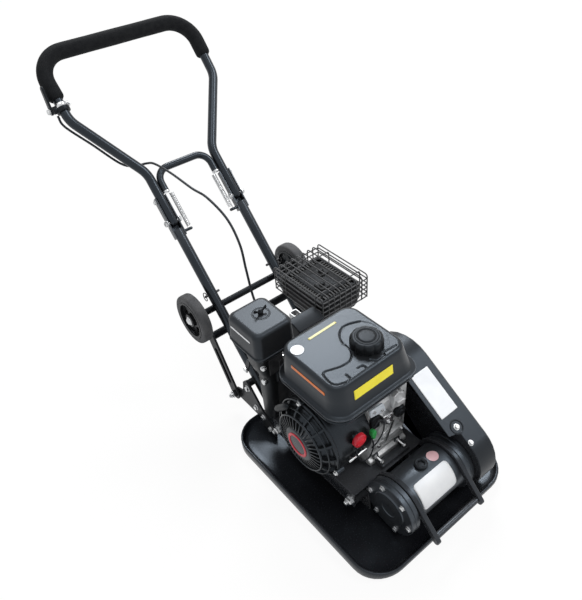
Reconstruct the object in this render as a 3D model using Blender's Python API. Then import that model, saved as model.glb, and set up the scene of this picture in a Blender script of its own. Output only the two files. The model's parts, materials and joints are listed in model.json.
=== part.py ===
"""Walk-behind plate compactor with a four-stroke engine, folding handle and swing-up wheels.

Frame: metres, +Z up, the front (exciter end) towards -Y, the handle towards +Y and the
engine's pull starter towards -X. The origin is at the centre of the sole's underside.
"""

from math import acos, atan2, cos, pi, radians, sin, sqrt

import bmesh
import bpy
from mathutils import Matrix, Vector

# Driving dimensions
GAP = 0.0003
PLATE_LENGTH, PLATE_WIDTH, PLATE_CORNER = 0.540, 0.450, 0.075
SOLE_THICKNESS, RIM_TOP, RIM_THICKNESS = 0.008, 0.028, 0.007
RAMP_LENGTH, RAMP_RISE = 0.060, 0.012
EXCITER_RADIUS, EXCITER_BORE = 0.058, 0.046
EXCITER_HALF, FLANGE_THICKNESS, COVER_THICKNESS = 0.090, 0.012, 0.012
FLANGE_RADIUS = EXCITER_RADIUS + 0.010
EXCITER_Y, EXCITER_Z = -0.112 - FLANGE_RADIUS, SOLE_THICKNESS + FLANGE_RADIUS + 0.010
EXCITER_SHAFT, ECCENTRIC_RADIUS = 0.015, 0.040
BEARING_RADIUS, BEARING_WIDTH = 0.031, 0.019
STRAP_CENTRE, STRAP_WIDTH, STRAP_DEPTH = 0.0715, 0.011, 0.012
STRAP_END_Y, STRAP_END_Z = EXCITER_Y - 0.110, EXCITER_Z - 0.020
DECK_TOP, DECK_THICKNESS, DECK_FRONT, DECK_REAR = 0.092, 0.006, -0.110, 0.184
DECK_LEFT, DECK_RIGHT, DECK_SKIRT = -0.140, 0.082, 0.046
MOUNT_YS, MOUNT_Z, MOUNT_RADIUS, MOUNT_LENGTH = (-0.098, 0.166), 0.064, 0.015, 0.033
MOUNT_STUD, MOUNT_NUT, MOUNT_NUT_THICKNESS, MOUNT_STUD_OUT = 0.005, 0.0095, 0.009, 0.018
LUG_THICKNESS, LUG_TOP, LUG_FOOT_HALF, LUG_TOP_HALF = 0.006, 0.078, 0.022, 0.012
CRANK_Y, CRANK_Z = 0.015, 0.198
CYLINDER_TILT = radians(25.0)
FAN_RADIUS, FAN_WALL, FAN_IN, FAN_OUT, RECOIL_OUT = 0.097, 0.0045, -0.0603, -0.160, -0.192
TANK_X, TANK_Y, TANK_WIDTH, TANK_LENGTH = -0.047, 0.010, 0.248, 0.214
TANK_TOP_X, TANK_TOP_Y, TANK_TOP_WIDTH, TANK_TOP_LENGTH = -0.056, 0.013, 0.206, 0.180
TANK_BOTTOM, TANK_FLANGE, TANK_TOP, TANK_WALL, FILLER_RADIUS = 0.302, 0.335, 0.415, 0.004, 0.020
CAP_X, CAP_Y, CAP_RADIUS, CAP_TOP = -0.020, -0.020, 0.034, 0.441
FILTER_X, FILTER_Y, FILTER_WIDTH, FILTER_LENGTH = -0.132, 0.200, 0.108, 0.120
FILTER_BOTTOM, FILTER_SEAM, FILTER_TOP = 0.322, 0.352, 0.420
MUFFLER_X, MUFFLER_Y, MUFFLER_SIZE = 0.117, 0.2725, 0.138
MUFFLER_BOTTOM, MUFFLER_TOP = 0.262, 0.339
CAGE_LOW, CAGE_HIGH, WIRE = (0.0452, 0.194, 0.290), (0.197, 0.386, 0.364), 0.0032
BELT_X, BELT_WIDTH, BELT_DEPTH = 0.126, 0.013, 0.008
CLUTCH_BELT_RADIUS, EXCITER_BELT_RADIUS = 0.050, 0.036
GUARD_OUT, GUARD_WALL, GUARD_LIP, GUARD_EDGE = 0.162, 0.002, 0.073, 0.006
GUARD_TOP_RADIUS, GUARD_LOW_RADIUS, GUARD_LOW_Z = 0.099, 0.082, EXCITER_Z + 0.011
HANDLE_ANGLE, HANDLE_Y, HANDLE_Z, HANDLE_HALF = radians(47.8), 0.596, 0.447, 0.100
LOWER_TUBE, UPPER_TUBE, LOWER_LENGTH = 0.0135, 0.0125, 0.452
FOLD_S, BEND_S, FLARE_S, TOP_S, TUBE_BEND = 0.022, 0.162, 0.352, 0.526, 0.070
FLARE_HALF, GRIP_HALF, FOAM_RADIUS, FOAM_START = 0.214, 0.219, 0.0178, 0.410
CHANNEL_LOW, CHANNEL_TOP, CHANNEL_SHEET, FOLD_PIN = -0.022, 0.094, 0.003, 0.005
HOOP_HALF = HANDLE_HALF - 0.0225
HOOP_TUBE, HOOP_LOW, HOOP_TOP, HOOP_BEND = 0.0095, 0.098, 0.160, 0.035
SPRING_COILS, SPRING_POINTS, SPRING_RADIUS, SPRING_WIRE, SPRING_ANCHOR_S = 14, 8, 0.0052, 0.0011, -0.012
PIVOT_Y, PIVOT_Z, AXLE_Y, AXLE_Z, AXLE_RADIUS = 0.352, 0.050, 0.465, 0.2615, 0.009
BRACKET_IN, BRACKET_THICKNESS = HANDLE_HALF + LOWER_TUBE + 0.018, 0.006
ARM_IN, ARM_THICKNESS, ARM_HALF = BRACKET_IN + BRACKET_THICKNESS + 0.0025, 0.006, 0.018
WHEEL_IN, WHEEL_WIDTH, WHEEL_RADIUS = ARM_IN + ARM_THICKNESS + 0.004, 0.030, 0.0685
RIM_RADIUS = WHEEL_RADIUS - 0.0165
LEVER_S, LEVER_X = 0.388, -0.2405
CABLE_RADIUS, CABLE_STEP = 0.003, 0.020
FINE, MEDIUM, COARSE = 28, 18, 12

for item in list(bpy.data.objects):
    bpy.data.objects.remove(item, do_unlink=True)


def material(name, colour, roughness, metallic=0.0):
    """A plain Principled BSDF surface."""
    mat = bpy.data.materials.new(name)
    mat.use_nodes = True
    shader = mat.node_tree.nodes["Principled BSDF"]
    shader.inputs["Base Color"].default_value = (*colour, 1.0)
    shader.inputs["Roughness"].default_value = roughness
    shader.inputs["Metallic"].default_value = metallic
    return mat


BLACK_PAINT = material("black_paint", (0.012, 0.013, 0.016), 0.28)
BLACK_PLASTIC = material("black_plastic", (0.020, 0.021, 0.024), 0.45)
TANK_PAINT = material("tank_paint", (0.030, 0.033, 0.038), 0.35)
STEEL = material("zinc_steel", (0.62, 0.63, 0.64), 0.32, 1.0)
ALUMINIUM = material("cast_aluminium", (0.55, 0.56, 0.57), 0.45, 1.0)
IRON = material("cast_iron", (0.10, 0.10, 0.11), 0.6, 0.8)
RUBBER = material("rubber", (0.025, 0.025, 0.027), 0.85)
TYRE = material("grey_tyre", (0.10, 0.10, 0.105), 0.8)
FOAM = material("foam", (0.012, 0.012, 0.014), 0.95)
RED = material("red_plastic", (0.70, 0.02, 0.05), 0.35)


def finish(name, bm, mat, origin=(0.0, 0.0, 0.0), smooth=35.0):
    """Turn a bmesh in world coordinates into a named object with its origin on a joint or at zero."""
    bmesh.ops.remove_doubles(bm, verts=bm.verts, dist=1e-6)
    bmesh.ops.recalc_face_normals(bm, faces=bm.faces)
    bmesh.ops.translate(bm, verts=bm.verts, vec=-Vector(origin))
    mesh = bpy.data.meshes.new(name)
    bm.to_mesh(mesh)
    bm.free()
    mesh.shade_smooth()
    mesh.set_sharp_from_angle(angle=radians(smooth))
    mesh.materials.append(mat)
    obj = bpy.data.objects.new(name, mesh)
    obj.location = origin
    bpy.context.scene.collection.objects.link(obj)
    return obj


def boolean(target, cutters, operation="DIFFERENCE"):
    """Cut or join solids; the tools stay in the file as hidden wire guides."""
    for tool in cutters:
        tool.hide_render = True
        tool.display_type = "WIRE"
        step = target.modifiers.new(operation.lower(), "BOOLEAN")
        step.operation = operation
        step.object = tool
    return target


def place(axis, a, b, c):
    """Map a 2-D point (a, b) in the plane across an axis, at height c along it, to 3-D."""
    if axis == "X":
        return Vector((c, a, b))
    if axis == "Y":
        return Vector((a, c, b))
    return Vector((a, b, c))


def circle(cx, cy, radius, count, start=0.0):
    """Points of a circle, counter-clockwise."""
    angles = [start + 2 * pi * i / count for i in range(count)]
    return [(cx + radius * cos(t), cy + radius * sin(t)) for t in angles]


def arc(cx, cy, radius, start, end, count):
    """Points of an arc from one angle to another, both ends included."""
    angles = [start + (end - start) * i / count for i in range(count + 1)]
    return [(cx + radius * cos(t), cy + radius * sin(t)) for t in angles]


def rounded_rectangle(cx, cy, width, length, radius, count=4):
    """A rectangle with round corners, as one closed outline."""
    points = []
    for sx, sy, start in ((1, 1, 0.0), (-1, 1, 0.5 * pi), (-1, -1, pi), (1, -1, 1.5 * pi)):
        mx, my = cx + sx * (width / 2 - radius), cy + sy * (length / 2 - radius)
        points += arc(mx, my, radius, start, start + pi / 2, count)
    return points


def two_circles(y1, z1, r1, y2, z2, r2, count=12):
    """The outline of a belt round two circles of different size."""
    gap, heading = sqrt((y2 - y1) ** 2 + (z2 - z1) ** 2), atan2(z2 - z1, y2 - y1)
    lean = acos((r1 - r2) / gap)
    first = arc(y1, z1, r1, heading + lean, heading + 2 * pi - lean, count)
    return first + arc(y2, z2, r2, heading - lean, heading + lean, count)


def stadium(y1, z1, y2, z2, radius, count=6):
    """A slot outline between two centres."""
    return two_circles(y1, z1, radius, y2, z2, radius, count)


def extrude(outline, axis, low, high, holes=()):
    """A prism from a flat outline, with through holes if any are given."""
    bm = bmesh.new()
    edges = []
    for loop in (outline, *holes):
        verts = [bm.verts.new(place(axis, a, b, low)) for a, b in loop]
        edges += [bm.edges.new((verts[i - 1], verts[i])) for i in range(len(verts))]
    faces = bmesh.ops.triangle_fill(bm, use_beauty=True, edges=edges)["geom"]
    faces = [item for item in faces if isinstance(item, bmesh.types.BMFace)]
    moved = bmesh.ops.extrude_face_region(bm, geom=faces, use_keep_orig=True)["geom"]
    moved = [item for item in moved if isinstance(item, bmesh.types.BMVert)]
    bmesh.ops.translate(bm, verts=moved, vec=place(axis, 0.0, 0.0, high - low))
    return bm


def loft(loops, cap_first=True, cap_last=True, ring=False):
    """Skin closed 3-D loops that all have the same number of points."""
    bm = bmesh.new()
    rows = [[bm.verts.new(Vector(point)) for point in loop] for loop in loops]
    pairs = list(zip(rows, rows[1:] + rows[:1])) if ring else list(zip(rows, rows[1:]))
    for low, high in pairs:
        for i in range(len(low)):
            bm.faces.new((low[i - 1], low[i], high[i], high[i - 1]))
    if not ring and cap_first:
        bm.faces.new(rows[0])
    if not ring and cap_last:
        bm.faces.new(rows[-1])
    return bm


def lathe(profile, axis, centre, count):
    """Turn a closed profile of (radius, place along the axis) about an axis; radius 0 lies on the axis."""
    bm = bmesh.new()
    a, b = centre
    rows = []
    for radius, along in profile:
        if radius == 0.0:
            rows.append([bm.verts.new(place(axis, a, b, along))])
        else:
            rows.append([bm.verts.new(place(axis, u, v, along)) for u, v in circle(a, b, radius, count)])
    for low, high in zip(rows, rows[1:] + rows[:1]):
        if len(low) == 1 and len(high) == 1:
            continue
        for i in range(count):
            first = [low[i - 1], low[i]] if len(low) > 1 else low
            second = [high[i], high[i - 1]] if len(high) > 1 else high
            bm.faces.new(first + second)
    return bm


def box(low, high, bevel=0.0):
    """A box between two corners, with chamfered edges if a width is given."""
    bm = bmesh.new()
    bmesh.ops.create_cube(bm, size=1.0)
    low, high = Vector(low), Vector(high)
    for vert in bm.verts:
        vert.co = Vector([low[i] + (vert.co[i] + 0.5) * (high[i] - low[i]) for i in range(3)])
    if bevel:
        bmesh.ops.bevel(bm, geom=bm.edges[:], offset=bevel, segments=2, profile=0.5, affect="EDGES")
    return bm


def fillet(points, radius, count=4):
    """A path of straight runs with round bends, from its corner points."""
    points = [Vector(point) for point in points]
    path = [points[0]]
    for before, corner, after in zip(points, points[1:], points[2:]):
        back, ahead = (before - corner).normalized(), (after - corner).normalized()
        half = back.angle(ahead) / 2
        reach = radius * cos(half) / sin(half)
        middle = corner + (back + ahead).normalized() * (radius / sin(half))
        first, last = corner + back * reach - middle, corner + ahead * reach - middle
        sweep = first.angle(last)
        turn = first.cross(last).normalized()
        path += [middle + Matrix.Rotation(sweep * i / count, 3, turn) @ first for i in range(count + 1)]
    return path + [points[-1]]


def rings(path, radius, sides):
    """Circles square to a path, turned along it without twist."""
    path = [Vector(point) for point in path]
    loops, side = [], None
    for i, point in enumerate(path):
        ahead = (path[min(i + 1, len(path) - 1)] - path[max(i - 1, 0)]).normalized()
        if side is None:
            side = ahead.orthogonal().normalized()
        side = (side - ahead * side.dot(ahead)).normalized()
        other = ahead.cross(side)
        loops.append([point + radius * (side * a + other * b) for a, b in circle(0.0, 0.0, 1.0, sides)])
    return loops


def tube(path, radius, sides=COARSE, round_ends=False):
    """A solid rod along a path; its ends can be domed about the first and last point."""
    loops = rings(path, radius, sides)
    if round_ends:
        for end, inner in ((0, 1), (-1, -2)):
            centre = Vector(path[end])
            out = (centre - Vector(path[inner])).normalized()
            domes = [[centre + (p - centre) * cos(t) + out * radius * sin(t) for p in loops[end]]
                     for t in (0.5, 1.0, 1.4)]
            loops = list(reversed(domes)) + loops if end == 0 else loops + domes
    return loft(loops)


def sleeve(path, inner, outer, sides=COARSE):
    """A hollow tube along a path with flat ends."""
    return loft(rings(path, outer, sides) + list(reversed(rings(path, inner, sides))), ring=True)


def handle(x, s, n=0.0):
    """A point in the handle's plane: x across, s up along the tubes, n out of the plane to the front."""
    return Vector((x, HANDLE_Y + s * cos(HANDLE_ANGLE) - n * sin(HANDLE_ANGLE),
                   HANDLE_Z + s * sin(HANDLE_ANGLE) + n * cos(HANDLE_ANGLE)))


def cylinder(axis, centre, radius, low, high, count=COARSE):
    """A plain round bar between two places along an axis."""
    return lathe([(0, low), (radius, low), (radius, high), (0, high)], axis, centre, count)


def mirrored(profile, side):
    """A lathe profile on the left or right of the middle plane."""
    return [(radius, side * along) for radius, along in profile]


def shell_between(loops, skin, caps):
    """A thin-walled dish: strips between the listed pairs of loops, and caps over the listed loops."""
    bm = bmesh.new()
    rows = [[bm.verts.new(point) for point in loop] for loop in loops]
    for low, high in skin:
        for i in range(len(rows[low])):
            bm.faces.new((rows[low][i - 1], rows[low][i], rows[high][i], rows[high][i - 1]))
    for cap in caps:
        bm.faces.new(rows[cap])
    return bm


def sole_height(y):
    """Underside of the sole: flat in the middle and curving up at both ends."""
    past = max(0.0, abs(y) - (PLATE_LENGTH / 2 - RAMP_LENGTH)) / RAMP_LENGTH
    return RAMP_RISE * past * past


# Base plate: a pressed steel pan with a rim all round, ramped ends and four welded lugs for the deck.
def plate_rows(inset):
    """Half widths of the plate's outline at steps along Y, from rear to front."""
    half, width, corner = PLATE_LENGTH / 2 - inset, PLATE_WIDTH / 2 - inset, PLATE_CORNER - inset
    turns = [corner * (1 - cos(t * pi / 14)) for t in range(8)]
    ys = [half - turn for turn in turns] + [0.0] + [turn - half for turn in reversed(turns)]
    rounding = [max(0.0, abs(y) - half + corner) for y in ys]
    across = [width - corner + sqrt(max(0.0, corner ** 2 - turn ** 2)) for turn in rounding]
    return list(zip(ys, across))


def plate_loop(rows, height):
    """Both sides of the outline as one loop, at a height that may depend on Y."""
    left = [(-w, y, height(y)) for y, w in rows]
    return left + [(w, y, height(y)) for y, w in reversed(rows)]


outer_rows, inner_rows = plate_rows(0.0), plate_rows(RIM_THICKNESS)
pan_loops = [plate_loop(outer_rows, sole_height), plate_loop(outer_rows, lambda y: RIM_TOP),
             plate_loop(inner_rows, lambda y: RIM_TOP),
             plate_loop(inner_rows, lambda y: sole_height(y) + SOLE_THICKNESS)]
pan = loft(pan_loops, cap_first=False, cap_last=False)
pan.verts.ensure_lookup_table()
row_count = len(outer_rows)
for first in (0, 3 * 2 * row_count):
    for k in range(row_count - 1):
        pair = (first + k, first + k + 1, first + 2 * row_count - 2 - k, first + 2 * row_count - 1 - k)
        pan.faces.new([pan.verts[i] for i in pair])
base_plate = finish("base_plate", pan, BLACK_PAINT)
lug_faces = (DECK_LEFT + DECK_THICKNESS + MOUNT_LENGTH, DECK_RIGHT - DECK_THICKNESS - MOUNT_LENGTH)
lugs = []
for side, lug_face in zip((1, -1), lug_faces):
    for y in MOUNT_YS:
        ends = sorted((lug_face + side * GAP, lug_face + side * LUG_THICKNESS))
        foot = SOLE_THICKNESS - 0.003
        lug = extrude([(y - LUG_FOOT_HALF, foot), (y + LUG_FOOT_HALF, foot), (y + LUG_TOP_HALF, LUG_TOP),
                       (y - LUG_TOP_HALF, LUG_TOP)], "X", *ends)
        lugs.append(finish("lug_tool_%d" % len(lugs), lug, BLACK_PAINT))
boolean(base_plate, lugs, "UNION")

# Exciter: a flanged cylinder across the front with an unbalanced shaft in two bearings.
exciter_axis = (EXCITER_Y, EXCITER_Z)
step_in = EXCITER_HALF - FLANGE_THICKNESS
housing = lathe([(EXCITER_BORE, -EXCITER_HALF), (FLANGE_RADIUS, -EXCITER_HALF), (FLANGE_RADIUS, -step_in),
                 (EXCITER_RADIUS, -step_in), (EXCITER_RADIUS, step_in), (FLANGE_RADIUS, step_in),
                 (FLANGE_RADIUS, EXCITER_HALF), (EXCITER_BORE, EXCITER_HALF)], "X", exciter_axis, FINE)
exciter_housing = finish("exciter_housing", housing, BLACK_PAINT)
saddle_top = EXCITER_Z - 0.5 * (EXCITER_RADIUS + EXCITER_BORE)
saddle = finish("saddle_tool", box((-0.072, EXCITER_Y - 0.012, SOLE_THICKNESS + GAP),
                                   (0.072, EXCITER_Y + 0.030, saddle_top)), BLACK_PAINT)
PLUG_RADIUS, PLUG_HEAD, PLUG_DEPTH = 0.008, 0.0155, 0.010
plug_centre = (0.0, EXCITER_Y + 0.006)
plug_cut = cylinder("Z", plug_centre, PLUG_RADIUS + GAP, EXCITER_Z, EXCITER_Z + 1.2 * EXCITER_RADIUS, COARSE)
plug_hole = finish("plug_hole_tool", plug_cut, BLACK_PAINT)
boolean(exciter_housing, [saddle], "UNION")
boolean(exciter_housing, [plug_hole])
plug_base = EXCITER_Z + EXCITER_RADIUS + GAP
plug_profile = [(0, plug_base - PLUG_DEPTH), (PLUG_RADIUS, plug_base - PLUG_DEPTH), (PLUG_RADIUS, plug_base),
                (PLUG_HEAD, plug_base + 0.0006), (PLUG_HEAD, plug_base + 0.006), (0.010, plug_base + 0.008),
                (0, plug_base + 0.008)]
finish("filler_plug", lathe(plug_profile, "Z", plug_centre, MEDIUM), BLACK_PLASTIC)

cover_in, cover_out = EXCITER_HALF + GAP, EXCITER_HALF + GAP + COVER_THICKNESS
spigot, pocket = EXCITER_BORE - GAP, BEARING_RADIUS + GAP
bearing_in, bearing_out = EXCITER_HALF - 0.0155, EXCITER_HALF - 0.0155 + BEARING_WIDTH
for side, name in ((-1, "left"), (1, "right")):
    bore = 0.0 if side < 0 else EXCITER_SHAFT + 0.003
    profile = [(bore, cover_out), (FLANGE_RADIUS, cover_out), (FLANGE_RADIUS, cover_in), (spigot, cover_in),
               (spigot, bearing_in), (pocket, bearing_in), (pocket, bearing_out + GAP),
               (bore, bearing_out + GAP)]
    cover = lathe(mirrored(profile, side), "X", exciter_axis, FINE)
    finish("exciter_cover_" + name, cover, BLACK_PAINT)
    ring = [(EXCITER_SHAFT + GAP, bearing_in), (BEARING_RADIUS, bearing_in), (BEARING_RADIUS, bearing_out),
            (EXCITER_SHAFT + GAP, bearing_out)]
    bearing = lathe(mirrored(ring, side), "X", exciter_axis, MEDIUM)
    finish("exciter_bearing_" + name, bearing, STEEL)

SHAFT_RIGHT = 0.140
shaft_origin = (0.0, EXCITER_Y, EXCITER_Z)
shaft = cylinder("X", exciter_axis, EXCITER_SHAFT, -bearing_out, SHAFT_RIGHT, MEDIUM)
exciter_shaft = finish("exciter_shaft", shaft, STEEL, shaft_origin)
WEIGHT_HALF = 0.055
weight = arc(EXCITER_Y, EXCITER_Z, ECCENTRIC_RADIUS, pi, 2 * pi, COARSE)
weight_body = finish("weight_tool", extrude(weight, "X", -WEIGHT_HALF, WEIGHT_HALF), STEEL)
boolean(exciter_shaft, [weight_body], "UNION")

# Drive: centrifugal clutch on the crankshaft, V-belt and the exciter's pulley.
def grooved(belt_radius, bore, low, high):
    """A pulley whose groove clears the belt all round."""
    rim, half = belt_radius + BELT_DEPTH + 0.002, BELT_WIDTH / 2 + GAP
    floor = belt_radius - GAP
    return [(bore, low), (rim, low), (rim, BELT_X - half), (floor, BELT_X - half), (floor, BELT_X + half),
            (rim, BELT_X + half), (rim, high), (bore, high)]


CRANK_STUB = 0.0125
crank_axis = (CRANK_Y, CRANK_Z)
crank_origin = (0.0, CRANK_Y, CRANK_Z)
pulley = lathe(grooved(EXCITER_BELT_RADIUS, EXCITER_SHAFT + GAP, 0.114, 0.138), "X", exciter_axis, MEDIUM)
finish("exciter_pulley", pulley, IRON, shaft_origin)
drum = lathe(grooved(CLUTCH_BELT_RADIUS, CRANK_STUB + GAP, 0.112, 0.148), "X", crank_axis, FINE)
finish("clutch_drum", drum, IRON, crank_origin)
belt_paths = [two_circles(CRANK_Y, CRANK_Z, CLUTCH_BELT_RADIUS + lift, EXCITER_Y, EXCITER_Z,
                          EXCITER_BELT_RADIUS + lift, MEDIUM + 4) for lift in (BELT_DEPTH, 0.0)]
belt_loops = []
for outline, x in ((belt_paths[0], -0.5), (belt_paths[0], 0.5), (belt_paths[1], 0.5), (belt_paths[1], -0.5)):
    belt_loops.append([(BELT_X + x * BELT_WIDTH, y, z) for y, z in outline])
finish("drive_belt", loft(belt_loops, ring=True), RUBBER)

# Belt guard: a deep pressed shell on the right, wider along its sloping top, with a flat back plate.
GUARD_STEPS, LIP_STEPS, LIP_ENDS, BACK_THICKNESS = 14, 3, (0.80, 0.84), 0.0023
guard_in = cover_out + GAP


def guard_outline(inset):
    """The guard's outline round both pulleys, with two more points where the wide lip ends."""
    ring = two_circles(CRANK_Y, CRANK_Z, GUARD_TOP_RADIUS - inset, EXCITER_Y, GUARD_LOW_Z,
                       GUARD_LOW_RADIUS - inset, GUARD_STEPS)
    (y1, z1), (y2, z2) = ring[GUARD_STEPS:GUARD_STEPS + 2]
    run = [(y1 + part * (y2 - y1), z1 + part * (z2 - z1)) for part in LIP_ENDS]
    return ring[:GUARD_STEPS + 1] + run + ring[GUARD_STEPS + 1:]


def guard_loop(inset, x, lip_x):
    """The outline at one place across the machine; its upper run may lie at another place."""
    lip = range(GUARD_STEPS - LIP_STEPS, GUARD_STEPS + 2)
    return [(lip_x if i in lip else x, y, z) for i, (y, z) in enumerate(guard_outline(inset))]


guard_shoulder, guard_floor = GUARD_OUT - GUARD_EDGE, GUARD_OUT - GUARD_WALL
guard_levels = [(0.0, guard_in, GUARD_LIP), (0.0, guard_shoulder, guard_shoulder),
                (GUARD_EDGE, GUARD_OUT, GUARD_OUT), (GUARD_EDGE + GUARD_WALL, guard_floor, guard_floor),
                (GUARD_WALL, guard_shoulder - GUARD_WALL, guard_shoulder - GUARD_WALL),
                (GUARD_WALL, guard_in, GUARD_LIP)]
guard = shell_between([guard_loop(*level) for level in guard_levels],
                      ((0, 1), (1, 2), (3, 4), (4, 5), (5, 0)), (2, 3))
finish("belt_guard", guard, BLACK_PLASTIC)
back_holes = (circle(CRANK_Y, CRANK_Z, 0.026, MEDIUM), circle(EXCITER_Y, EXCITER_Z, 0.022, MEDIUM))
back_plate = extrude(guard_outline(GUARD_WALL + GAP), "X", guard_in, guard_in + BACK_THICKNESS, back_holes)
finish("guard_back_plate", back_plate, BLACK_PAINT)

# Straps: two bars arched over the exciter that carry the round bar in front.
strap_inner = EXCITER_RADIUS + GAP
strap_mid = strap_inner + STRAP_DEPTH / 2
strap_reach = sqrt((STRAP_END_Y - EXCITER_Y) ** 2 + (STRAP_END_Z - EXCITER_Z) ** 2)
leave = atan2(STRAP_END_Z - EXCITER_Z, STRAP_END_Y - EXCITER_Y) + 2 * pi - acos(strap_mid / strap_reach)
strap_start = radians(10.0)
strap_outline = arc(EXCITER_Y, EXCITER_Z, strap_inner + STRAP_DEPTH, strap_start, leave, 14)
strap_outline += arc(STRAP_END_Y, STRAP_END_Z, STRAP_DEPTH / 2 + 0.002, leave, leave + pi, 6)
strap_outline += list(reversed(arc(EXCITER_Y, EXCITER_Z, strap_inner, strap_start, leave, 14)))
for side, name in ((-1, "left"), (1, "right")):
    ends = sorted((side * (STRAP_CENTRE - STRAP_WIDTH / 2), side * (STRAP_CENTRE + STRAP_WIDTH / 2)))
    finish("strap_" + name, extrude(strap_outline, "X", *ends), BLACK_PAINT)
bar_half = STRAP_CENTRE - STRAP_WIDTH / 2 - GAP
bar_axis = (STRAP_END_Y + 0.006, STRAP_END_Z + 0.003)
finish("front_bar", cylinder("X", bar_axis, 0.007, -bar_half, bar_half, COARSE), BLACK_PAINT)

# Engine deck: a folded steel channel hung on four rubber mounts.
deck_inner = (DECK_LEFT + DECK_THICKNESS, DECK_RIGHT - DECK_THICKNESS)
deck_under = DECK_TOP - DECK_THICKNESS
deck_profile = [(DECK_LEFT, DECK_SKIRT), (DECK_LEFT, DECK_TOP), (DECK_RIGHT, DECK_TOP),
                (DECK_RIGHT, DECK_SKIRT), (deck_inner[1], DECK_SKIRT), (deck_inner[1], deck_under),
                (deck_inner[0], deck_under), (deck_inner[0], DECK_SKIRT)]
deck = finish("engine_deck", extrude(deck_profile, "Y", DECK_FRONT, DECK_REAR), BLACK_PAINT)
stud_holes = []
for y in MOUNT_YS:
    hole_ends = (DECK_LEFT - MOUNT_STUD, DECK_RIGHT + MOUNT_STUD)
    hole = cylinder("X", (y, MOUNT_Z), MOUNT_STUD + GAP, *hole_ends, COARSE)
    stud_holes.append(finish("stud_hole_tool_%d" % len(stud_holes), hole, BLACK_PAINT))
boolean(deck, stud_holes)
for side, face, label in ((-1, DECK_LEFT, "left"), (1, DECK_RIGHT, "right")):
    inner = face - side * DECK_THICKNESS
    for y, name in zip(MOUNT_YS, ("front", "rear")):
        tip_x, nut_x = face + side * MOUNT_STUD_OUT, face + side * (MOUNT_NUT_THICKNESS + GAP)
        near, far = inner - side * GAP, inner - side * MOUNT_LENGTH
        profile = [(0, tip_x), (MOUNT_STUD, tip_x), (MOUNT_STUD, nut_x), (MOUNT_NUT, nut_x),
                   (MOUNT_NUT, face + side * GAP), (MOUNT_STUD, face + side * GAP), (MOUNT_STUD, near),
                   (MOUNT_RADIUS, near), (MOUNT_RADIUS, far), (0, far)]
        finish("rubber_mount_%s_%s" % (label, name), lathe(profile, "X", (y, MOUNT_Z), COARSE), RUBBER)

# Engine block: crankcase with a bore for the crankshaft, and the tilted finned cylinder.
CASE_LEFT, CASE_RIGHT, CRANK_JOURNAL = -0.060, 0.058, 0.018
CYLINDER_HALF, CYLINDER_START, CYLINDER_END, CYLINDER_SIDE = 0.050, 0.088, 0.202, 0.040


def cylinder_point(u, v):
    """A point along the tilted cylinder: u out from the crank, v across it upwards."""
    return (CRANK_Y + u * cos(CYLINDER_TILT) - v * sin(CYLINDER_TILT),
            CRANK_Z + u * sin(CYLINDER_TILT) + v * cos(CYLINDER_TILT))


case_foot, case_top, case_end = DECK_TOP + GAP, TANK_BOTTOM - 2 * GAP, CYLINDER_START - GAP
case_outline = [(-0.080, case_foot), (0.106, case_foot), (0.106, 0.104), (0.096, 0.110), (0.098, 0.150),
                cylinder_point(case_end, -CYLINDER_HALF), cylinder_point(case_end, CYLINDER_HALF),
                (0.030, case_top), (-0.045, case_top), (-0.070, 0.270), (-0.070, 0.110), (-0.080, 0.104)]
crank_bore = circle(CRANK_Y, CRANK_Z, CRANK_JOURNAL + GAP, MEDIUM)
finish("crankcase", extrude(case_outline, "X", CASE_LEFT, CASE_RIGHT, (crank_bore,)), ALUMINIUM)
FIN_COUNT, FIN_DEPTH = 7, 0.012
fin_pitch = (CYLINDER_END - CYLINDER_START) / FIN_COUNT
upper, lower = [], []
for k in range(FIN_COUNT):
    u = CYLINDER_START + k * fin_pitch
    for du, v in ((0.0, 0.0), (0.45 * fin_pitch, 0.0), (0.45 * fin_pitch, FIN_DEPTH), (fin_pitch, FIN_DEPTH)):
        upper.append(cylinder_point(u + du, CYLINDER_HALF - v))
        lower.append(cylinder_point(u + du, v - CYLINDER_HALF))
finish("cylinder", extrude(upper + list(reversed(lower)), "X", -CYLINDER_SIDE, CYLINDER_SIDE), ALUMINIUM)
head = [cylinder_point(CYLINDER_END + GAP, -0.046), cylinder_point(CYLINDER_END + GAP, 0.046),
        cylinder_point(CYLINDER_END + 0.026, 0.042), cylinder_point(CYLINDER_END + 0.046, 0.034),
        cylinder_point(CYLINDER_END + 0.046, -0.034), cylinder_point(CYLINDER_END + 0.026, -0.042)]
finish("rocker_cover", extrude(head, "X", -CYLINDER_SIDE, CYLINDER_SIDE), BLACK_PAINT)

CRANK_NOSE, CRANK_NOSE_END, CRANK_STUB_END, JOURNAL_PAST = 0.010, -0.130, 0.150, 0.004
crank_profile = [(0, CRANK_NOSE_END), (CRANK_NOSE, CRANK_NOSE_END), (CRANK_NOSE, CASE_LEFT - JOURNAL_PAST),
                 (CRANK_JOURNAL, CASE_LEFT - JOURNAL_PAST), (CRANK_JOURNAL, CASE_RIGHT + JOURNAL_PAST),
                 (CRANK_STUB, CASE_RIGHT + JOURNAL_PAST), (CRANK_STUB, CRANK_STUB_END), (0, CRANK_STUB_END)]
finish("crankshaft", lathe(crank_profile, "X", crank_axis, MEDIUM), STEEL, crank_origin)
flywheel_bore, FLYWHEEL_RADIUS = CRANK_NOSE + GAP, 0.086
flywheel_profile = [(flywheel_bore, -0.078), (0.030, -0.078), (FLYWHEEL_RADIUS, -0.090),
                    (FLYWHEEL_RADIUS, -0.112), (0.070, -0.115), (0.030, -0.096), (flywheel_bore, -0.096)]
finish("flywheel", lathe(flywheel_profile, "X", crank_axis, MEDIUM), IRON, crank_origin)
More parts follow.
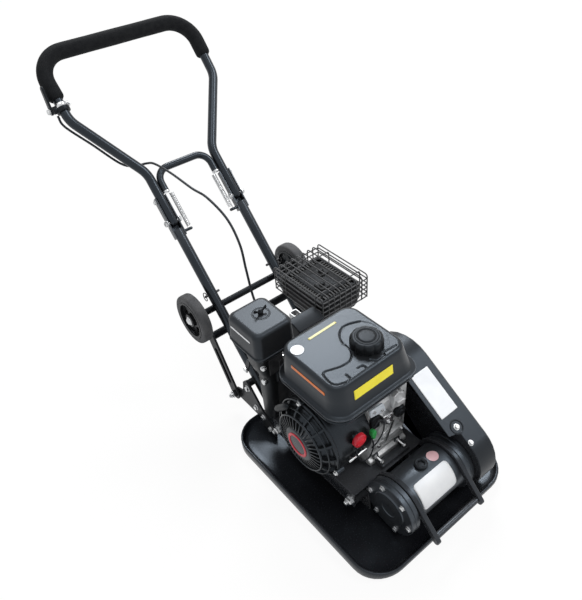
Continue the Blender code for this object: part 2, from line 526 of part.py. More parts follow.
fan_profile = [(FAN_RADIUS, FAN_IN), (FAN_RADIUS, FAN_OUT + 0.010), (0.092, FAN_OUT), (0.062, FAN_OUT),
               (0.062, FAN_OUT + 0.003), (0.089, FAN_OUT + 0.003), (FAN_RADIUS - FAN_WALL, FAN_OUT + 0.012),
               (FAN_RADIUS - FAN_WALL, FAN_IN)]
fan_housing = finish("fan_housing", lathe(fan_profile, "X", crank_axis, FINE), BLACK_PLASTIC)
SWITCH_X, SWITCH_FACE, SWITCH_Z, SWITCH_RADIUS, SWITCH_NECK = -0.103, -0.0775, 0.236, 0.017, 0.007
switch_boss = cylinder("Y", (SWITCH_X, SWITCH_Z), SWITCH_NECK + 0.001, SWITCH_FACE + GAP, SWITCH_FACE + 0.009)
boolean(fan_housing, [finish("switch_boss_tool", switch_boss, BLACK_PLASTIC)], "UNION")
recoil_base = FAN_OUT - GAP
recoil_profile = [(0, RECOIL_OUT), (0.048, RECOIL_OUT), (0.078, RECOIL_OUT + 0.012), (0.086, recoil_base),
                  (0.078, recoil_base), (0.072, RECOIL_OUT + 0.015), (0.046, RECOIL_OUT + 0.004),
                  (0, RECOIL_OUT + 0.004)]
finish("recoil_starter", lathe(recoil_profile, "X", crank_axis, FINE), BLACK_PLASTIC)
GRIP_PULL = Vector((-0.55, 0.62, 0.56)).normalized()
GRIP_RADIUS, GRIP_REACH, GRIP_BAR_HALF = 0.0085, 0.0878, 0.030
grip_cross = GRIP_PULL.cross(Vector((1, 0, 0))).normalized()
grip_out = GRIP_REACH * sqrt(0.5)
grip_mid = Vector((RECOIL_OUT + 0.0115, CRANK_Y + grip_out, CRANK_Z + grip_out))
grip_path = [grip_mid - grip_cross * GRIP_BAR_HALF, grip_mid + grip_cross * GRIP_BAR_HALF]
finish("starter_grip", tube(grip_path, GRIP_RADIUS, COARSE, True), BLACK_PLASTIC, grip_mid)

switch_profile = [(0, SWITCH_FACE), (SWITCH_NECK, SWITCH_FACE), (SWITCH_NECK, SWITCH_FACE - 0.004),
                  (SWITCH_RADIUS, SWITCH_FACE - 0.004), (SWITCH_RADIUS, SWITCH_FACE - 0.014),
                  (0.012, SWITCH_FACE - 0.018), (0, SWITCH_FACE - 0.018)]
switch = lathe(switch_profile, "Y", (SWITCH_X, SWITCH_Z), COARSE)
finish("engine_switch", switch, RED, (SWITCH_X, SWITCH_FACE, SWITCH_Z))

# Fuel tank: two pressed halves seamed at a flange, hollow, with a filler hole under the cap.
def tank_loop(z, rise, inset, corner):
    """One level of the tank: its outline goes from the flange's (rise 0) to the top's (rise 1)."""
    pairs = ((TANK_X, TANK_TOP_X), (TANK_Y, TANK_TOP_Y), (TANK_WIDTH, TANK_TOP_WIDTH),
             (TANK_LENGTH, TANK_TOP_LENGTH))
    x, y, width, length = [low + rise * (high - low) for low, high in pairs]
    outline = rounded_rectangle(x, y, width - 2 * inset, length - 2 * inset, corner)
    return [(u, v, z) for u, v in outline]


tank_levels = [(TANK_BOTTOM, 0.0, 0.044, 0.024), (TANK_BOTTOM + 0.018, 0.0, 0.018, 0.036),
               (TANK_FLANGE - 0.003, 0.0, 0.007, 0.042), (TANK_FLANGE - 0.002, 0.0, 0.0, 0.046),
               (TANK_FLANGE + 0.002, 0.0, 0.0, 0.046), (TANK_FLANGE + 0.003, 0.0, 0.007, 0.042),
               (TANK_TOP - 0.010, 1.0, 0.0, 0.034), (TANK_TOP - 0.003, 1.0, 0.003, 0.032),
               (TANK_TOP, 1.0, 0.010, 0.028)]
tank = finish("fuel_tank", loft([tank_loop(*level) for level in tank_levels]), TANK_PAINT)
hollow_levels = [(TANK_BOTTOM + TANK_WALL, 0.0, 0.044 + TANK_WALL, 0.020),
                 (TANK_BOTTOM + 0.020, 0.0, 0.020 + TANK_WALL, 0.032),
                 (TANK_FLANGE, 0.0, 0.010 + TANK_WALL, 0.034), (TANK_TOP - 0.012, 1.0, TANK_WALL, 0.030),
                 (TANK_TOP - TANK_WALL, 1.0, 0.010 + TANK_WALL, 0.024)]
hollow = finish("tank_hollow_tool", loft([tank_loop(*level) for level in hollow_levels]), TANK_PAINT)
filler_cut = cylinder("Z", (CAP_X, CAP_Y), FILLER_RADIUS, TANK_TOP - 0.03, TANK_TOP + 0.01, MEDIUM)
filler = finish("filler_tool", filler_cut, TANK_PAINT)
boolean(tank, [hollow, filler])


def knurled(radius, notch, count=10, steps=5):
    """A round outline with evenly spaced shallow notches."""
    outer, inner = [circle(CAP_X, CAP_Y, size, count * steps) for size in (radius, radius - notch)]
    return [inner[i] if i % steps == 0 else outer[i] for i in range(count * steps)]


cap_levels = [(TANK_TOP + GAP, CAP_RADIUS, 0.003), (CAP_TOP - 0.006, CAP_RADIUS, 0.003),
              (CAP_TOP - 0.002, CAP_RADIUS - 0.004, 0.001), (CAP_TOP, CAP_RADIUS - 0.010, 0.0)]
cap_loops = [[(x, y, z) for x, y in knurled(radius, notch)] for z, radius, notch in cap_levels]
finish("fuel_cap", loft(cap_loops), BLACK_PLASTIC, (CAP_X, CAP_Y, TANK_TOP))

# Air filter: tray, lift-off cover, wing nut and the carburettor with its levers.
def filter_loop(z, inset, corner):
    """One level of the air filter's outline."""
    sides = (FILTER_WIDTH - 2 * inset, FILTER_LENGTH - 2 * inset)
    outline = rounded_rectangle(FILTER_X, FILTER_Y, *sides, corner)
    return [(x, y, z) for x, y in outline]


tray_levels = [(FILTER_BOTTOM, 0.020, 0.014), (FILTER_BOTTOM + 0.010, 0.012, 0.018),
               (FILTER_SEAM - GAP, 0.001, 0.020)]
finish("air_filter_tray", loft([filter_loop(*level) for level in tray_levels]), BLACK_PLASTIC)
cover_levels = [(FILTER_SEAM, 0.0, 0.020), (FILTER_TOP - 0.014, 0.002, 0.020),
                (FILTER_TOP - 0.003, 0.008, 0.018), (FILTER_TOP, 0.015, 0.014),
                (FILTER_TOP - 0.0025, 0.017, 0.012), (FILTER_TOP - 0.0055, 0.011, 0.015),
                (FILTER_TOP - 0.015, 0.0045, 0.018), (FILTER_SEAM, 0.0025, 0.018)]
filter_cover = shell_between([filter_loop(*level) for level in cover_levels],
                             ((0, 1), (1, 2), (2, 3), (4, 5), (5, 6), (6, 7), (7, 0)), (3, 4))
finish("air_filter_cover", filter_cover, BLACK_PLASTIC)
NUT_X, NUT_Y, NUT_RADIUS, NUT_HEIGHT, WING_HALF = FILTER_X + 0.007, FILTER_Y + 0.004, 0.006, 0.009, 0.0025
nut_base = FILTER_TOP + GAP
wing_outline = [(-0.016, 0.010), (-0.012, 0.016), (-0.005, 0.006), (0.005, 0.006), (0.012, 0.016),
                (0.016, 0.010), (0.006, 0.0), (-0.006, 0.0)]
wing_points = [(NUT_X + a, nut_base + b) for a, b in wing_outline]
wings = extrude(wing_points, "Y", NUT_Y - WING_HALF, NUT_Y + WING_HALF)
wing_nut = finish("filter_wing_nut", wings, BLACK_PLASTIC, (NUT_X, NUT_Y, nut_base))
hub = cylinder("Z", (NUT_X, NUT_Y), NUT_RADIUS, nut_base, nut_base + NUT_HEIGHT, COARSE)
boolean(wing_nut, [finish("nut_hub_tool", hub, BLACK_PLASTIC)], "UNION")

CARB_Y, CARB_Z, CARB_LEFT, CARB_HALF, CARB_RISE = 0.188, 0.268, -0.112, 0.018, 0.020
carb_right = -CYLINDER_SIDE - GAP
carb_body = box((CARB_LEFT, CARB_Y - CARB_HALF, CARB_Z - CARB_RISE),
                (carb_right, CARB_Y + CARB_HALF, CARB_Z + CARB_RISE))
carburettor = finish("carburettor", carb_body, ALUMINIUM)
elbow = box((CARB_LEFT - 0.028, CARB_Y - 0.016, CARB_Z - 0.012),
            (CARB_LEFT + 0.012, CARB_Y + 0.016, FILTER_BOTTOM - GAP))
bowl = lathe([(0, CARB_Z - 0.046), (0.016, CARB_Z - 0.044), (0.019, CARB_Z - 0.038), (0.019, CARB_Z - 0.015),
              (0, CARB_Z - 0.015)], "Z", (0.5 * (CARB_LEFT + carb_right), CARB_Y), MEDIUM)
boolean(carburettor, [finish("elbow_tool", elbow, ALUMINIUM), finish("bowl_tool", bowl, ALUMINIUM)], "UNION")


def flat_lever(name, pivot, direction, length, width, axis, low, high, mat):
    """A flat lever with round ends that turns about its first centre."""
    first = (pivot[0], pivot[1])
    last = (pivot[0] + length * direction[0], pivot[1] + length * direction[1])
    bm = extrude(two_circles(*first, width / 2, *last, width / 2.6, 6), axis, low, high)
    return finish(name, bm, mat, place(axis, *first, low))


ARM_LENGTH, ARM_WIDTH, ARM_SHEET = 0.034, 0.014, 0.0025
throttle_low, choke_high = CARB_Z + CARB_RISE + GAP, CARB_Y - CARB_HALF - GAP
flat_lever("carburettor_throttle", (-0.070, CARB_Y + 0.006), (-0.2, 0.98), ARM_LENGTH, ARM_WIDTH,
           "Z", throttle_low, throttle_low + ARM_SHEET, STEEL)
flat_lever("choke_lever", (-0.088, CARB_Z), (-0.6, -0.8), ARM_LENGTH, ARM_WIDTH,
           "Y", choke_high - ARM_SHEET, choke_high, BLACK_PLASTIC)

# Muffler: pressed box on the exhaust port, slotted heat shield over it and a wire cage round both.
half = MUFFLER_SIZE / 2
SHIELD_SHEET, SHIELD_AIR = 0.002, 0.0005
inside = half - SHIELD_SHEET - SHIELD_AIR
muffler_box = box((MUFFLER_X - inside, MUFFLER_Y - inside, MUFFLER_BOTTOM),
                  (MUFFLER_X + inside, MUFFLER_Y + inside, MUFFLER_TOP - 0.014), 0.018)
muffler = finish("muffler", muffler_box, BLACK_PAINT)
pipe_axis = (MUFFLER_Y - half + 0.022, MUFFLER_BOTTOM + 0.014)
pipe = cylinder("X", pipe_axis, 0.012, CYLINDER_SIDE + GAP, MUFFLER_X - half + 0.020, COARSE)
boolean(muffler, [finish("pipe_tool", pipe, BLACK_PAINT)], "UNION")


def shield_loop(z, inset, corner):
    """One level of the heat shield."""
    side = MUFFLER_SIZE - 2 * inset
    return [(x, y, z) for x, y in rounded_rectangle(MUFFLER_X, MUFFLER_Y, side, side, corner, 3)]


shield_low = MUFFLER_BOTTOM + 0.030
shield_levels = [(shield_low, 0.0, 0.016), (MUFFLER_TOP - 0.008, 0.001, 0.016), (MUFFLER_TOP, 0.008, 0.012),
                 (MUFFLER_TOP - SHIELD_SHEET, 0.009, 0.011), (MUFFLER_TOP - 0.009, 0.003, 0.014),
                 (shield_low, SHIELD_SHEET, 0.014)]
shield = shell_between([shield_loop(*level) for level in shield_levels],
                       ((0, 1), (1, 2), (3, 4), (4, 5), (5, 0)), (2, 3))
heat_shield = finish("heat_shield", shield, BLACK_PAINT)
SLOT_COUNT, SLOT_HALF, SLOT_MARGIN = 7, 0.003, 0.020
slot_pitch = (MUFFLER_SIZE - 2 * SLOT_MARGIN) / SLOT_COUNT
slots = []
for k in range(SLOT_COUNT):
    x = MUFFLER_X - half + SLOT_MARGIN + (k + 0.5) * slot_pitch
    slot = box((x - SLOT_HALF, MUFFLER_Y - half + 1.5 * SLOT_MARGIN, MUFFLER_TOP - 3 * SHIELD_SHEET),
               (x + SLOT_HALF, MUFFLER_Y + half - 1.5 * SLOT_MARGIN, MUFFLER_TOP + SHIELD_SHEET))
    slots.append(finish("slot_tool_%d" % k, slot, BLACK_PAINT))
boolean(heat_shield, slots)


def lattice_lines(low, high, count):
    """Edges of evenly spaced wires between two ends, wire edge by wire edge."""
    lines = []
    for k in range(count):
        start_edge = low + (high - low - WIRE) * k / (count - 1)
        lines += [start_edge, start_edge + WIRE]
    return lines


def lattice_faces(across, along, locate, bm):
    """Faces of a flat wire grid: every cell that lies on a wire of either direction."""
    for i in range(len(across) - 1):
        for j in range(len(along) - 1):
            if i % 2 and j % 2:
                continue
            cell = ((i, j), (i + 1, j), (i + 1, j + 1), (i, j + 1))
            bm.faces.new([bm.verts.new(locate(across[a], along[b])) for a, b in cell])


cage = bmesh.new()
(cx0, cy0, cz0), (cx1, cy1, cz1) = CAGE_LOW, CAGE_HIGH
wires_x, wires_y, wires_z = lattice_lines(cx0, cx1, 8), lattice_lines(cy0, cy1, 4), lattice_lines(cz0, cz1, 3)
lattice_faces(wires_x, wires_y, lambda x, y: (x, y, cz1), cage)
for y in (cy0, cy1):
    lattice_faces(wires_x, wires_z, lambda x, z, y=y: (x, y, z), cage)
for x in (cx0, cx1):
    lattice_faces(wires_y, wires_z, lambda y, z, x=x: (x, y, z), cage)
muffler_cage = finish("muffler_cage", cage, BLACK_PAINT)
thicken = muffler_cage.modifiers.new("wire_depth", "SOLIDIFY")
thicken.thickness = 0.7 * WIRE
thicken.offset = -1.0
thicken.use_even_offset = True

# Rear brackets: bolted side plates that carry the handle and the wheels' pivot pins.
handle_foot = handle(HANDLE_HALF, 0.010 - LOWER_LENGTH)
EAR, PIN_RADIUS, PIN_HEAD, FOOT_BOSS = 0.016, 0.006, 0.010, 0.010
bracket_front, bracket_foot = DECK_REAR + 0.004, SOLE_THICKNESS + GAP
ramp_start = PLATE_LENGTH / 2 - RAMP_LENGTH
bracket_outline = [(bracket_front, bracket_foot), (ramp_start - 0.001, bracket_foot),
                   (ramp_start + 0.028, 0.0125), (ramp_start + 0.042, RIM_TOP + 0.006),
                   (PLATE_LENGTH / 2 + 0.030, 0.036), (PIVOT_Y + 0.004, PIVOT_Z - 0.014),
                   (PIVOT_Y + 0.014, PIVOT_Z), (PIVOT_Y + 0.004, PIVOT_Z + 0.014),
                   (PIVOT_Y - 0.030, PIVOT_Z + 0.028), (handle_foot.y + EAR, handle_foot.z),
                   (handle_foot.y, handle_foot.z + EAR), (handle_foot.y - EAR, handle_foot.z + 0.25 * EAR),
                   (0.240, 0.074), (bracket_front, 0.038)]
for side, name in ((-1, "left"), (1, "right")):
    ends = sorted((side * BRACKET_IN, side * (BRACKET_IN + BRACKET_THICKNESS)))
    bracket = finish("rear_bracket_" + name, extrude(bracket_outline, "X", *ends), BLACK_PAINT)
    head_in, pin_start = ARM_IN + ARM_THICKNESS + GAP, BRACKET_IN + BRACKET_THICKNESS / 2
    pin_profile = [(0, pin_start), (PIN_RADIUS, pin_start), (PIN_RADIUS, head_in), (PIN_HEAD, head_in),
                   (PIN_HEAD, head_in + PIN_RADIUS), (0, head_in + PIN_RADIUS)]
    pin = lathe(mirrored(pin_profile, side), "X", (PIVOT_Y, PIVOT_Z), COARSE)
    boss_ends = sorted((side * (HANDLE_HALF + LOWER_TUBE + GAP), side * pin_start))
    boss = cylinder("X", (handle_foot.y, handle_foot.z), FOOT_BOSS, *boss_ends, COARSE)
    joined = [finish("pin_tool_" + name, pin, STEEL), finish("boss_tool_" + name, boss, STEEL)]
    boolean(bracket, joined, "UNION")

# Wheels: a swing frame of two slotted arms and a cross tube, an axle, and two solid-tyred wheels.
arm_vector = Vector((AXLE_Y - PIVOT_Y, AXLE_Z - PIVOT_Z))


def arm_point(part):
    """A point along the arm, 0 at the pivot and 1 at the axle."""
    return (PIVOT_Y + part * arm_vector.x, PIVOT_Z + part * arm_vector.y)


arm_outline = stadium(*arm_point(0.0), *arm_point(1.0), ARM_HALF, 8)
ARM_SLOT, CROSS_RADIUS = 0.007, 0.011
arm_holes = (circle(*arm_point(0.0), PIN_RADIUS + GAP, COARSE),
             circle(*arm_point(1.0), AXLE_RADIUS + GAP, COARSE),
             stadium(*arm_point(0.16), *arm_point(0.56), ARM_SLOT, 4))
arm = extrude(arm_outline, "X", -ARM_IN - ARM_THICKNESS, -ARM_IN, arm_holes)
wheel_frame = finish("wheel_frame", arm, BLACK_PAINT, (0.0, PIVOT_Y, PIVOT_Z))
other_arm = extrude(arm_outline, "X", ARM_IN, ARM_IN + ARM_THICKNESS, arm_holes)
cross_reach = ARM_IN + 0.5 * ARM_THICKNESS
cross = cylinder("X", arm_point(0.72), CROSS_RADIUS, -cross_reach, cross_reach, COARSE)
joined = [finish("cross_tool", cross, BLACK_PAINT), finish("arm_tool", other_arm, BLACK_PAINT)]
boolean(wheel_frame, joined, "UNION")

axle_origin = (0.0, AXLE_Y, AXLE_Z)
axle_end = WHEEL_IN + WHEEL_WIDTH + 0.004
axle_bar = cylinder("X", (AXLE_Y, AXLE_Z), AXLE_RADIUS, -axle_end, axle_end, COARSE)
finish("axle", axle_bar, BLACK_PAINT, axle_origin)
TYRE_EDGE, RIM_WALL, RIM_DISH, HUB_RADIUS, SPOKE_COUNT = 0.004, 0.006, 0.010, 0.018, 5
for side, name in ((-1, "left"), (1, "right")):
    low, high = WHEEL_IN, WHEEL_IN + WHEEL_WIDTH
    bead, shoulder = RIM_RADIUS + GAP, WHEEL_RADIUS - TYRE_EDGE
    tyre = [(bead, low), (shoulder, low), (WHEEL_RADIUS, low + TYRE_EDGE), (WHEEL_RADIUS, high - TYRE_EDGE),
            (shoulder, high), (bead, high)]
    finish("tyre_" + name, lathe(mirrored(tyre, side), "X", (AXLE_Y, AXLE_Z), FINE), TYRE, axle_origin)
    bore, barrel = AXLE_RADIUS + GAP, RIM_RADIUS - RIM_WALL
    rim = [(bore, low), (HUB_RADIUS, low), (HUB_RADIUS, low + RIM_DISH), (barrel, low + RIM_DISH),
           (barrel, low), (RIM_RADIUS, low), (RIM_RADIUS, high), (barrel, high),
           (barrel, high - RIM_DISH), (HUB_RADIUS, high - RIM_DISH), (HUB_RADIUS, high), (bore, high)]
    rim_body = lathe(mirrored(rim, side), "X", (AXLE_Y, AXLE_Z), FINE)
    wheel_rim = finish("wheel_rim_" + name, rim_body, BLACK_PLASTIC, axle_origin)
    windows = []
    for k in range(SPOKE_COUNT):
        turn = 2 * pi * k / SPOKE_COUNT + 0.3
        outline = arc(AXLE_Y, AXLE_Z, barrel - 0.004, turn - 0.40, turn + 0.40, 2)
        outline += arc(AXLE_Y, AXLE_Z, HUB_RADIUS + 0.006, turn + 0.30, turn - 0.30, 2)
        ends = sorted((side * (low - RIM_DISH), side * (high + RIM_DISH)))
        windows.append(finish("window_tool_%s_%d" % (name, k), extrude(outline, "X", *ends), BLACK_PLASTIC))
    boolean(wheel_rim, windows)

# Lower handle: two tubes with a cross tube below and a folded channel at the top of each.
LOWER_TOP, FOOT_CROSS_S, FOOT_CROSS_RADIUS, ANCHOR_RADIUS = -0.002, 0.050, 0.011, 0.004
legs = []
for side in (-1, 1):
    leg_path = [handle(side * HANDLE_HALF, -LOWER_LENGTH), handle(side * HANDLE_HALF, LOWER_TOP)]
    legs.append(tube(leg_path, LOWER_TUBE, COARSE))
lower_handle = finish("lower_handle", legs[0], BLACK_PAINT)
joined = [finish("leg_tool", legs[1], BLACK_PAINT)]
cross_s = FOOT_CROSS_S - LOWER_LENGTH
cross_path = [handle(-HANDLE_HALF, cross_s), handle(HANDLE_HALF, cross_s)]
joined.append(finish("lower_cross_tool", tube(cross_path, FOOT_CROSS_RADIUS, COARSE), BLACK_PAINT))
flange_in, web, FLANGE_RISE = UPPER_TUBE + 0.0006, -UPPER_TUBE - 0.0005, 0.006
flange_out, web_out = flange_in + CHANNEL_SHEET, web - CHANNEL_SHEET
channel = [(-flange_out, FLANGE_RISE), (-flange_out, web_out), (flange_out, web_out),
           (flange_out, FLANGE_RISE), (flange_in, FLANGE_RISE), (flange_in, web), (-flange_in, web),
           (-flange_in, FLANGE_RISE)]
for side in (-1, 1):
    loops = [[handle(side * HANDLE_HALF + x, s, n) for x, n in channel] for s in (CHANNEL_LOW, CHANNEL_TOP)]
    joined.append(finish("channel_tool_%d" % side, loft(loops), BLACK_PAINT))
    anchor_in = side * (HANDLE_HALF - flange_in - 0.3 * CHANNEL_SHEET)
    anchor = [handle(anchor_in, SPRING_ANCHOR_S), handle(side * (HOOP_HALF - 0.013), SPRING_ANCHOR_S)]
    joined.append(finish("anchor_tool_%d" % side, tube(anchor, ANCHOR_RADIUS, COARSE), STEEL))
boolean(lower_handle, joined, "UNION")
fold_points = [handle(side * HANDLE_HALF, FOLD_S) for side in (-1, 1)]
fold_holes = []
for side, point in zip((-1, 1), fold_points):
    span = Vector((flange_out + 0.002, 0.0, 0.0))
    hole = tube([point - span, point + span], FOLD_PIN + GAP, COARSE)
    fold_holes.append(finish("fold_hole_tool_%d" % side, hole, STEEL))
boolean(lower_handle, fold_holes)

# Upper handle: one bent tube with domed ends, a foam grip, and the fold bolts.
right_side = ((HANDLE_HALF, FOLD_S), (HANDLE_HALF, BEND_S), (FLARE_HALF, FLARE_S), (GRIP_HALF, TOP_S))
corners = [handle(-x, s) for x, s in right_side] + [handle(x, s) for x, s in reversed(right_side)]
handle_path = fillet(corners, TUBE_BEND)
fold_origin = handle(0.0, FOLD_S)
upper_handle = finish("upper_handle", tube(handle_path, UPPER_TUBE, COARSE, True), BLACK_PAINT, fold_origin)
boolean(upper_handle, fold_holes)
foam_x = GRIP_HALF - (GRIP_HALF - FLARE_HALF) * (TOP_S - FOAM_START) / (TOP_S - FLARE_S)
foam_path = fillet([handle(-foam_x, FOAM_START), handle(-GRIP_HALF, TOP_S), handle(GRIP_HALF, TOP_S),
                    handle(foam_x, FOAM_START)], TUBE_BEND)
finish("foam_grip", sleeve(foam_path, UPPER_TUBE + 0.0005, FOAM_RADIUS), FOAM, fold_origin)
for side, name, point in zip((-1, 1), ("left", "right"), fold_points):
    reach, head, head_radius = flange_out + GAP, FOLD_PIN, 1.7 * FOLD_PIN
    bolt = [(0, -reach - head), (head_radius, -reach - head), (head_radius, -reach), (FOLD_PIN, -reach),
            (FOLD_PIN, reach), (head_radius, reach), (head_radius, reach + head), (0, reach + head)]
    bolt_profile = [(radius, point.x + side * along) for radius, along in bolt]
    finish("fold_bolt_" + name, lathe(bolt_profile, "X", (point.y, point.z), COARSE), STEEL)

# Latch: a spring-loaded hoop between the tubes that locks the fold, with a tension spring on each leg.
hoop_corners = [handle(-HOOP_HALF, HOOP_LOW), handle(-HOOP_HALF, HOOP_TOP), handle(HOOP_HALF, HOOP_TOP),
                handle(HOOP_HALF, HOOP_LOW)]
finish("latch_hoop", tube(fillet(hoop_corners, HOOP_BEND, 5), HOOP_TUBE, COARSE), BLACK_PAINT)
spring_low, spring_high = SPRING_ANCHOR_S + ANCHOR_RADIUS + GAP, HOOP_LOW - GAP
end_run = 2.5 * SPRING_WIRE
coil_low, coil_high = spring_low + end_run, spring_high - end_run
coil_pitch = (coil_high - coil_low) / SPRING_COILS
for side, name in ((-1, "left"), (1, "right")):
    coil_x = side * (HOOP_HALF - 0.011)
    points = [handle(coil_x + side * SPRING_RADIUS, spring_low)]
    for k in range(SPRING_COILS * SPRING_POINTS + 1):
        turn = 2 * pi * k / SPRING_POINTS
        along = coil_low + coil_pitch * k / SPRING_POINTS
        points.append(handle(coil_x + side * SPRING_RADIUS * cos(turn), along, SPRING_RADIUS * sin(turn)))
    points.append(handle(coil_x + side * SPRING_RADIUS, spring_high))
    finish("latch_spring_" + name, tube(points, SPRING_WIRE, 5), STEEL)
print("spring: least gap between turns %.2f mm" % (1000 * (coil_pitch - 2 * SPRING_WIRE)))

# Throttle control: a clamp on the left tube, a thumb lever on it, and the cable down to the carburettor.
lever_share = (LEVER_S - FLARE_S) / (TOP_S - FLARE_S)
clamp_x = -FLARE_HALF - (GRIP_HALF - FLARE_HALF) * lever_share
CLAMP_HALF, CLAMP_WALL, BOSS_RADIUS, LEVER_SHEET, LEVER_WIDTH = 0.011, 0.005, 0.009, 0.006, 0.020
lean = (GRIP_HALF - FLARE_HALF) / (TOP_S - FLARE_S)
clamp_ends = [handle(clamp_x - end * lean, LEVER_S + end) for end in (-CLAMP_HALF, CLAMP_HALF)]
clamp_body = sleeve(clamp_ends, UPPER_TUBE + GAP, UPPER_TUBE + CLAMP_WALL)
clamp = finish("throttle_clamp", clamp_body, BLACK_PLASTIC, fold_origin)
boss_path = [handle(clamp_x - UPPER_TUBE - 0.4 * CLAMP_WALL, LEVER_S), handle(LEVER_X + GAP, LEVER_S)]
boolean(clamp, [finish("clamp_boss_tool", tube(boss_path, BOSS_RADIUS, COARSE), BLACK_PLASTIC)], "UNION")
lever_pivot = handle(LEVER_X, LEVER_S)
lever_tip = handle(LEVER_X, LEVER_S + 0.048, 0.022) - lever_pivot
lever_way = (lever_tip.y / lever_tip.length, lever_tip.z / lever_tip.length)
flat_lever("throttle_lever", (lever_pivot.y, lever_pivot.z), lever_way, lever_tip.length, LEVER_WIDTH, "X",
           LEVER_X - LEVER_SHEET, LEVER_X, BLACK_PLASTIC)

# The cable's route: along the left tube, over the hoop, down in a free arc to the carburettor's lever.
route = [handle(-0.2335, LEVER_S - CLAMP_HALF - 0.0037, -0.003), handle(-0.226, 0.350, -0.020),
         handle(-0.186, 0.286, -0.021), handle(-0.142, 0.216, -0.023), handle(-0.108, 0.188, -0.023),
         handle(-0.085, 0.178, -0.008), handle(-0.080, 0.152, 0.026), handle(-0.074, 0.110, 0.085),
         (-0.070, 0.529, 0.581), (-0.065, 0.470, 0.577), (-0.060, 0.401, 0.547), (-0.060, 0.360, 0.495),
         (-0.062, 0.344, 0.430), (-0.066, 0.320, 0.358), (-0.072, 0.270, 0.303), (-0.0765, 0.230, 0.2943)]


def smooth_path(points, step):
    """Catmull-Rom curve through points, read at an even step."""
    points = [Vector(point) for point in points]
    points = [2 * points[0] - points[1]] + points + [2 * points[-1] - points[-2]]
    path = []
    for a, b, c, d in zip(points, points[1:], points[2:], points[3:]):
        count = max(1, round((c - b).length / step))
        for k in range(count):
            t = k / count
            bend, twist = 2 * a - 5 * b + 4 * c - d, 3 * b - a - 3 * c + d
            path.append(0.5 * (2 * b + (c - a) * t + bend * t ** 2 + twist * t ** 3))
    return path + [points[-2]]


cable_points = smooth_path(route, CABLE_STEP)
curve = bpy.data.curves.new("throttle_cable", "CURVE")
curve.dimensions = "3D"
curve.bevel_depth = CABLE_RADIUS
curve.bevel_resolution = 1
curve.use_fill_caps = True
spline = curve.splines.new("POLY")
spline.points.add(len(cable_points) - 1)
for knot, point in zip(spline.points, cable_points):
    knot.co = (*point, 1.0)
curve.materials.append(RUBBER)
bpy.context.scene.collection.objects.link(bpy.data.objects.new("throttle_cable", curve))
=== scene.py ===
"""Looks of a walk-behind plate compactor, built round its CAD frame: metres, +Z up, front towards -Y."""
import json

import bmesh
import bpy
import numpy as np
from mathutils import Matrix, Vector

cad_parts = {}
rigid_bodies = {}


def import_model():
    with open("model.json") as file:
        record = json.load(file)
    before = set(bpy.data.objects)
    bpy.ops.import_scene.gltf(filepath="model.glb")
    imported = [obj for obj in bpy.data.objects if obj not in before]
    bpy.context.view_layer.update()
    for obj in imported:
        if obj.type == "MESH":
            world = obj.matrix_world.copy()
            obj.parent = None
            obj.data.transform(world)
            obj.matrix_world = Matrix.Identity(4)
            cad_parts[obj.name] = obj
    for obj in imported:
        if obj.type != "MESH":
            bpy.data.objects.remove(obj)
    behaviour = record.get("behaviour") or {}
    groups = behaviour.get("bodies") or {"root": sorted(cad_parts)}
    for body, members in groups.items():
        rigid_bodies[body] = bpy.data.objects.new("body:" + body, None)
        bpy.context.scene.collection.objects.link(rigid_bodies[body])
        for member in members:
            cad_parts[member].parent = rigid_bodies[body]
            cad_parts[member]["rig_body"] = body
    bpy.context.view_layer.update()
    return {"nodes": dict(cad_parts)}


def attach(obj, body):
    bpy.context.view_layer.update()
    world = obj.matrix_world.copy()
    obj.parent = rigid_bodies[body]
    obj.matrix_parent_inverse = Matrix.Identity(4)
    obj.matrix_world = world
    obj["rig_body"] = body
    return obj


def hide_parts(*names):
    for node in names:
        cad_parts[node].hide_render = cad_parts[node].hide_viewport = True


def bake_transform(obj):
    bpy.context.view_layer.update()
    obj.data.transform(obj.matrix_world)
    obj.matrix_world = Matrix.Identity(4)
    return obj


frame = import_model()

# Studio: a camera in front of the machine, to its left and above it, over a seamless pale floor. Three
# soft boxes hang behind, above and to the right, and the rest of the light comes from a white room all round.
EYE = np.array((-0.66435, -0.65855, 1.29))
AZIMUTH, ELEVATION, ROLL = np.radians((-35.92, 39.58, -4.85))
LENS_PIXELS, PICTURE_HEIGHT, SENSOR, FAR_VIEW = 606.3, 600.0, 36.0, 60.0
ROOM_LIGHT = 0.35
SOFT_BOXES = (("soft_box_behind", (0.56, 0.72, 0.90), 2.00, 22.0),
              ("soft_box_right", (0.62, -0.42, 0.78), 1.10, 22.0),
              ("soft_box_above", (-0.12, -0.16, 1.0), 0.60, 30.0))
FLOOR_COLOURS = (0.90, 0.90, 0.90), (0.93, 0.93, 0.93)
FLOOR_REACH, FLOOR_GLOW, FLOOR_ROUGH, FLOOR_SHINE = 14.0, 0.92, 0.9, 0.1
PAPER_CLOUDS, PAPER_DETAIL = 3.0, 4.0
NOISE_LOW, NOISE_HIGH = 0.3, 0.7
UP = np.array((0.0, 0.0, 1.0))


def unit(vector):
    """A direction of length one; each row of an array on its own."""
    vector = np.asarray(vector, float)
    return vector / np.linalg.norm(vector, axis=-1, keepdims=True)


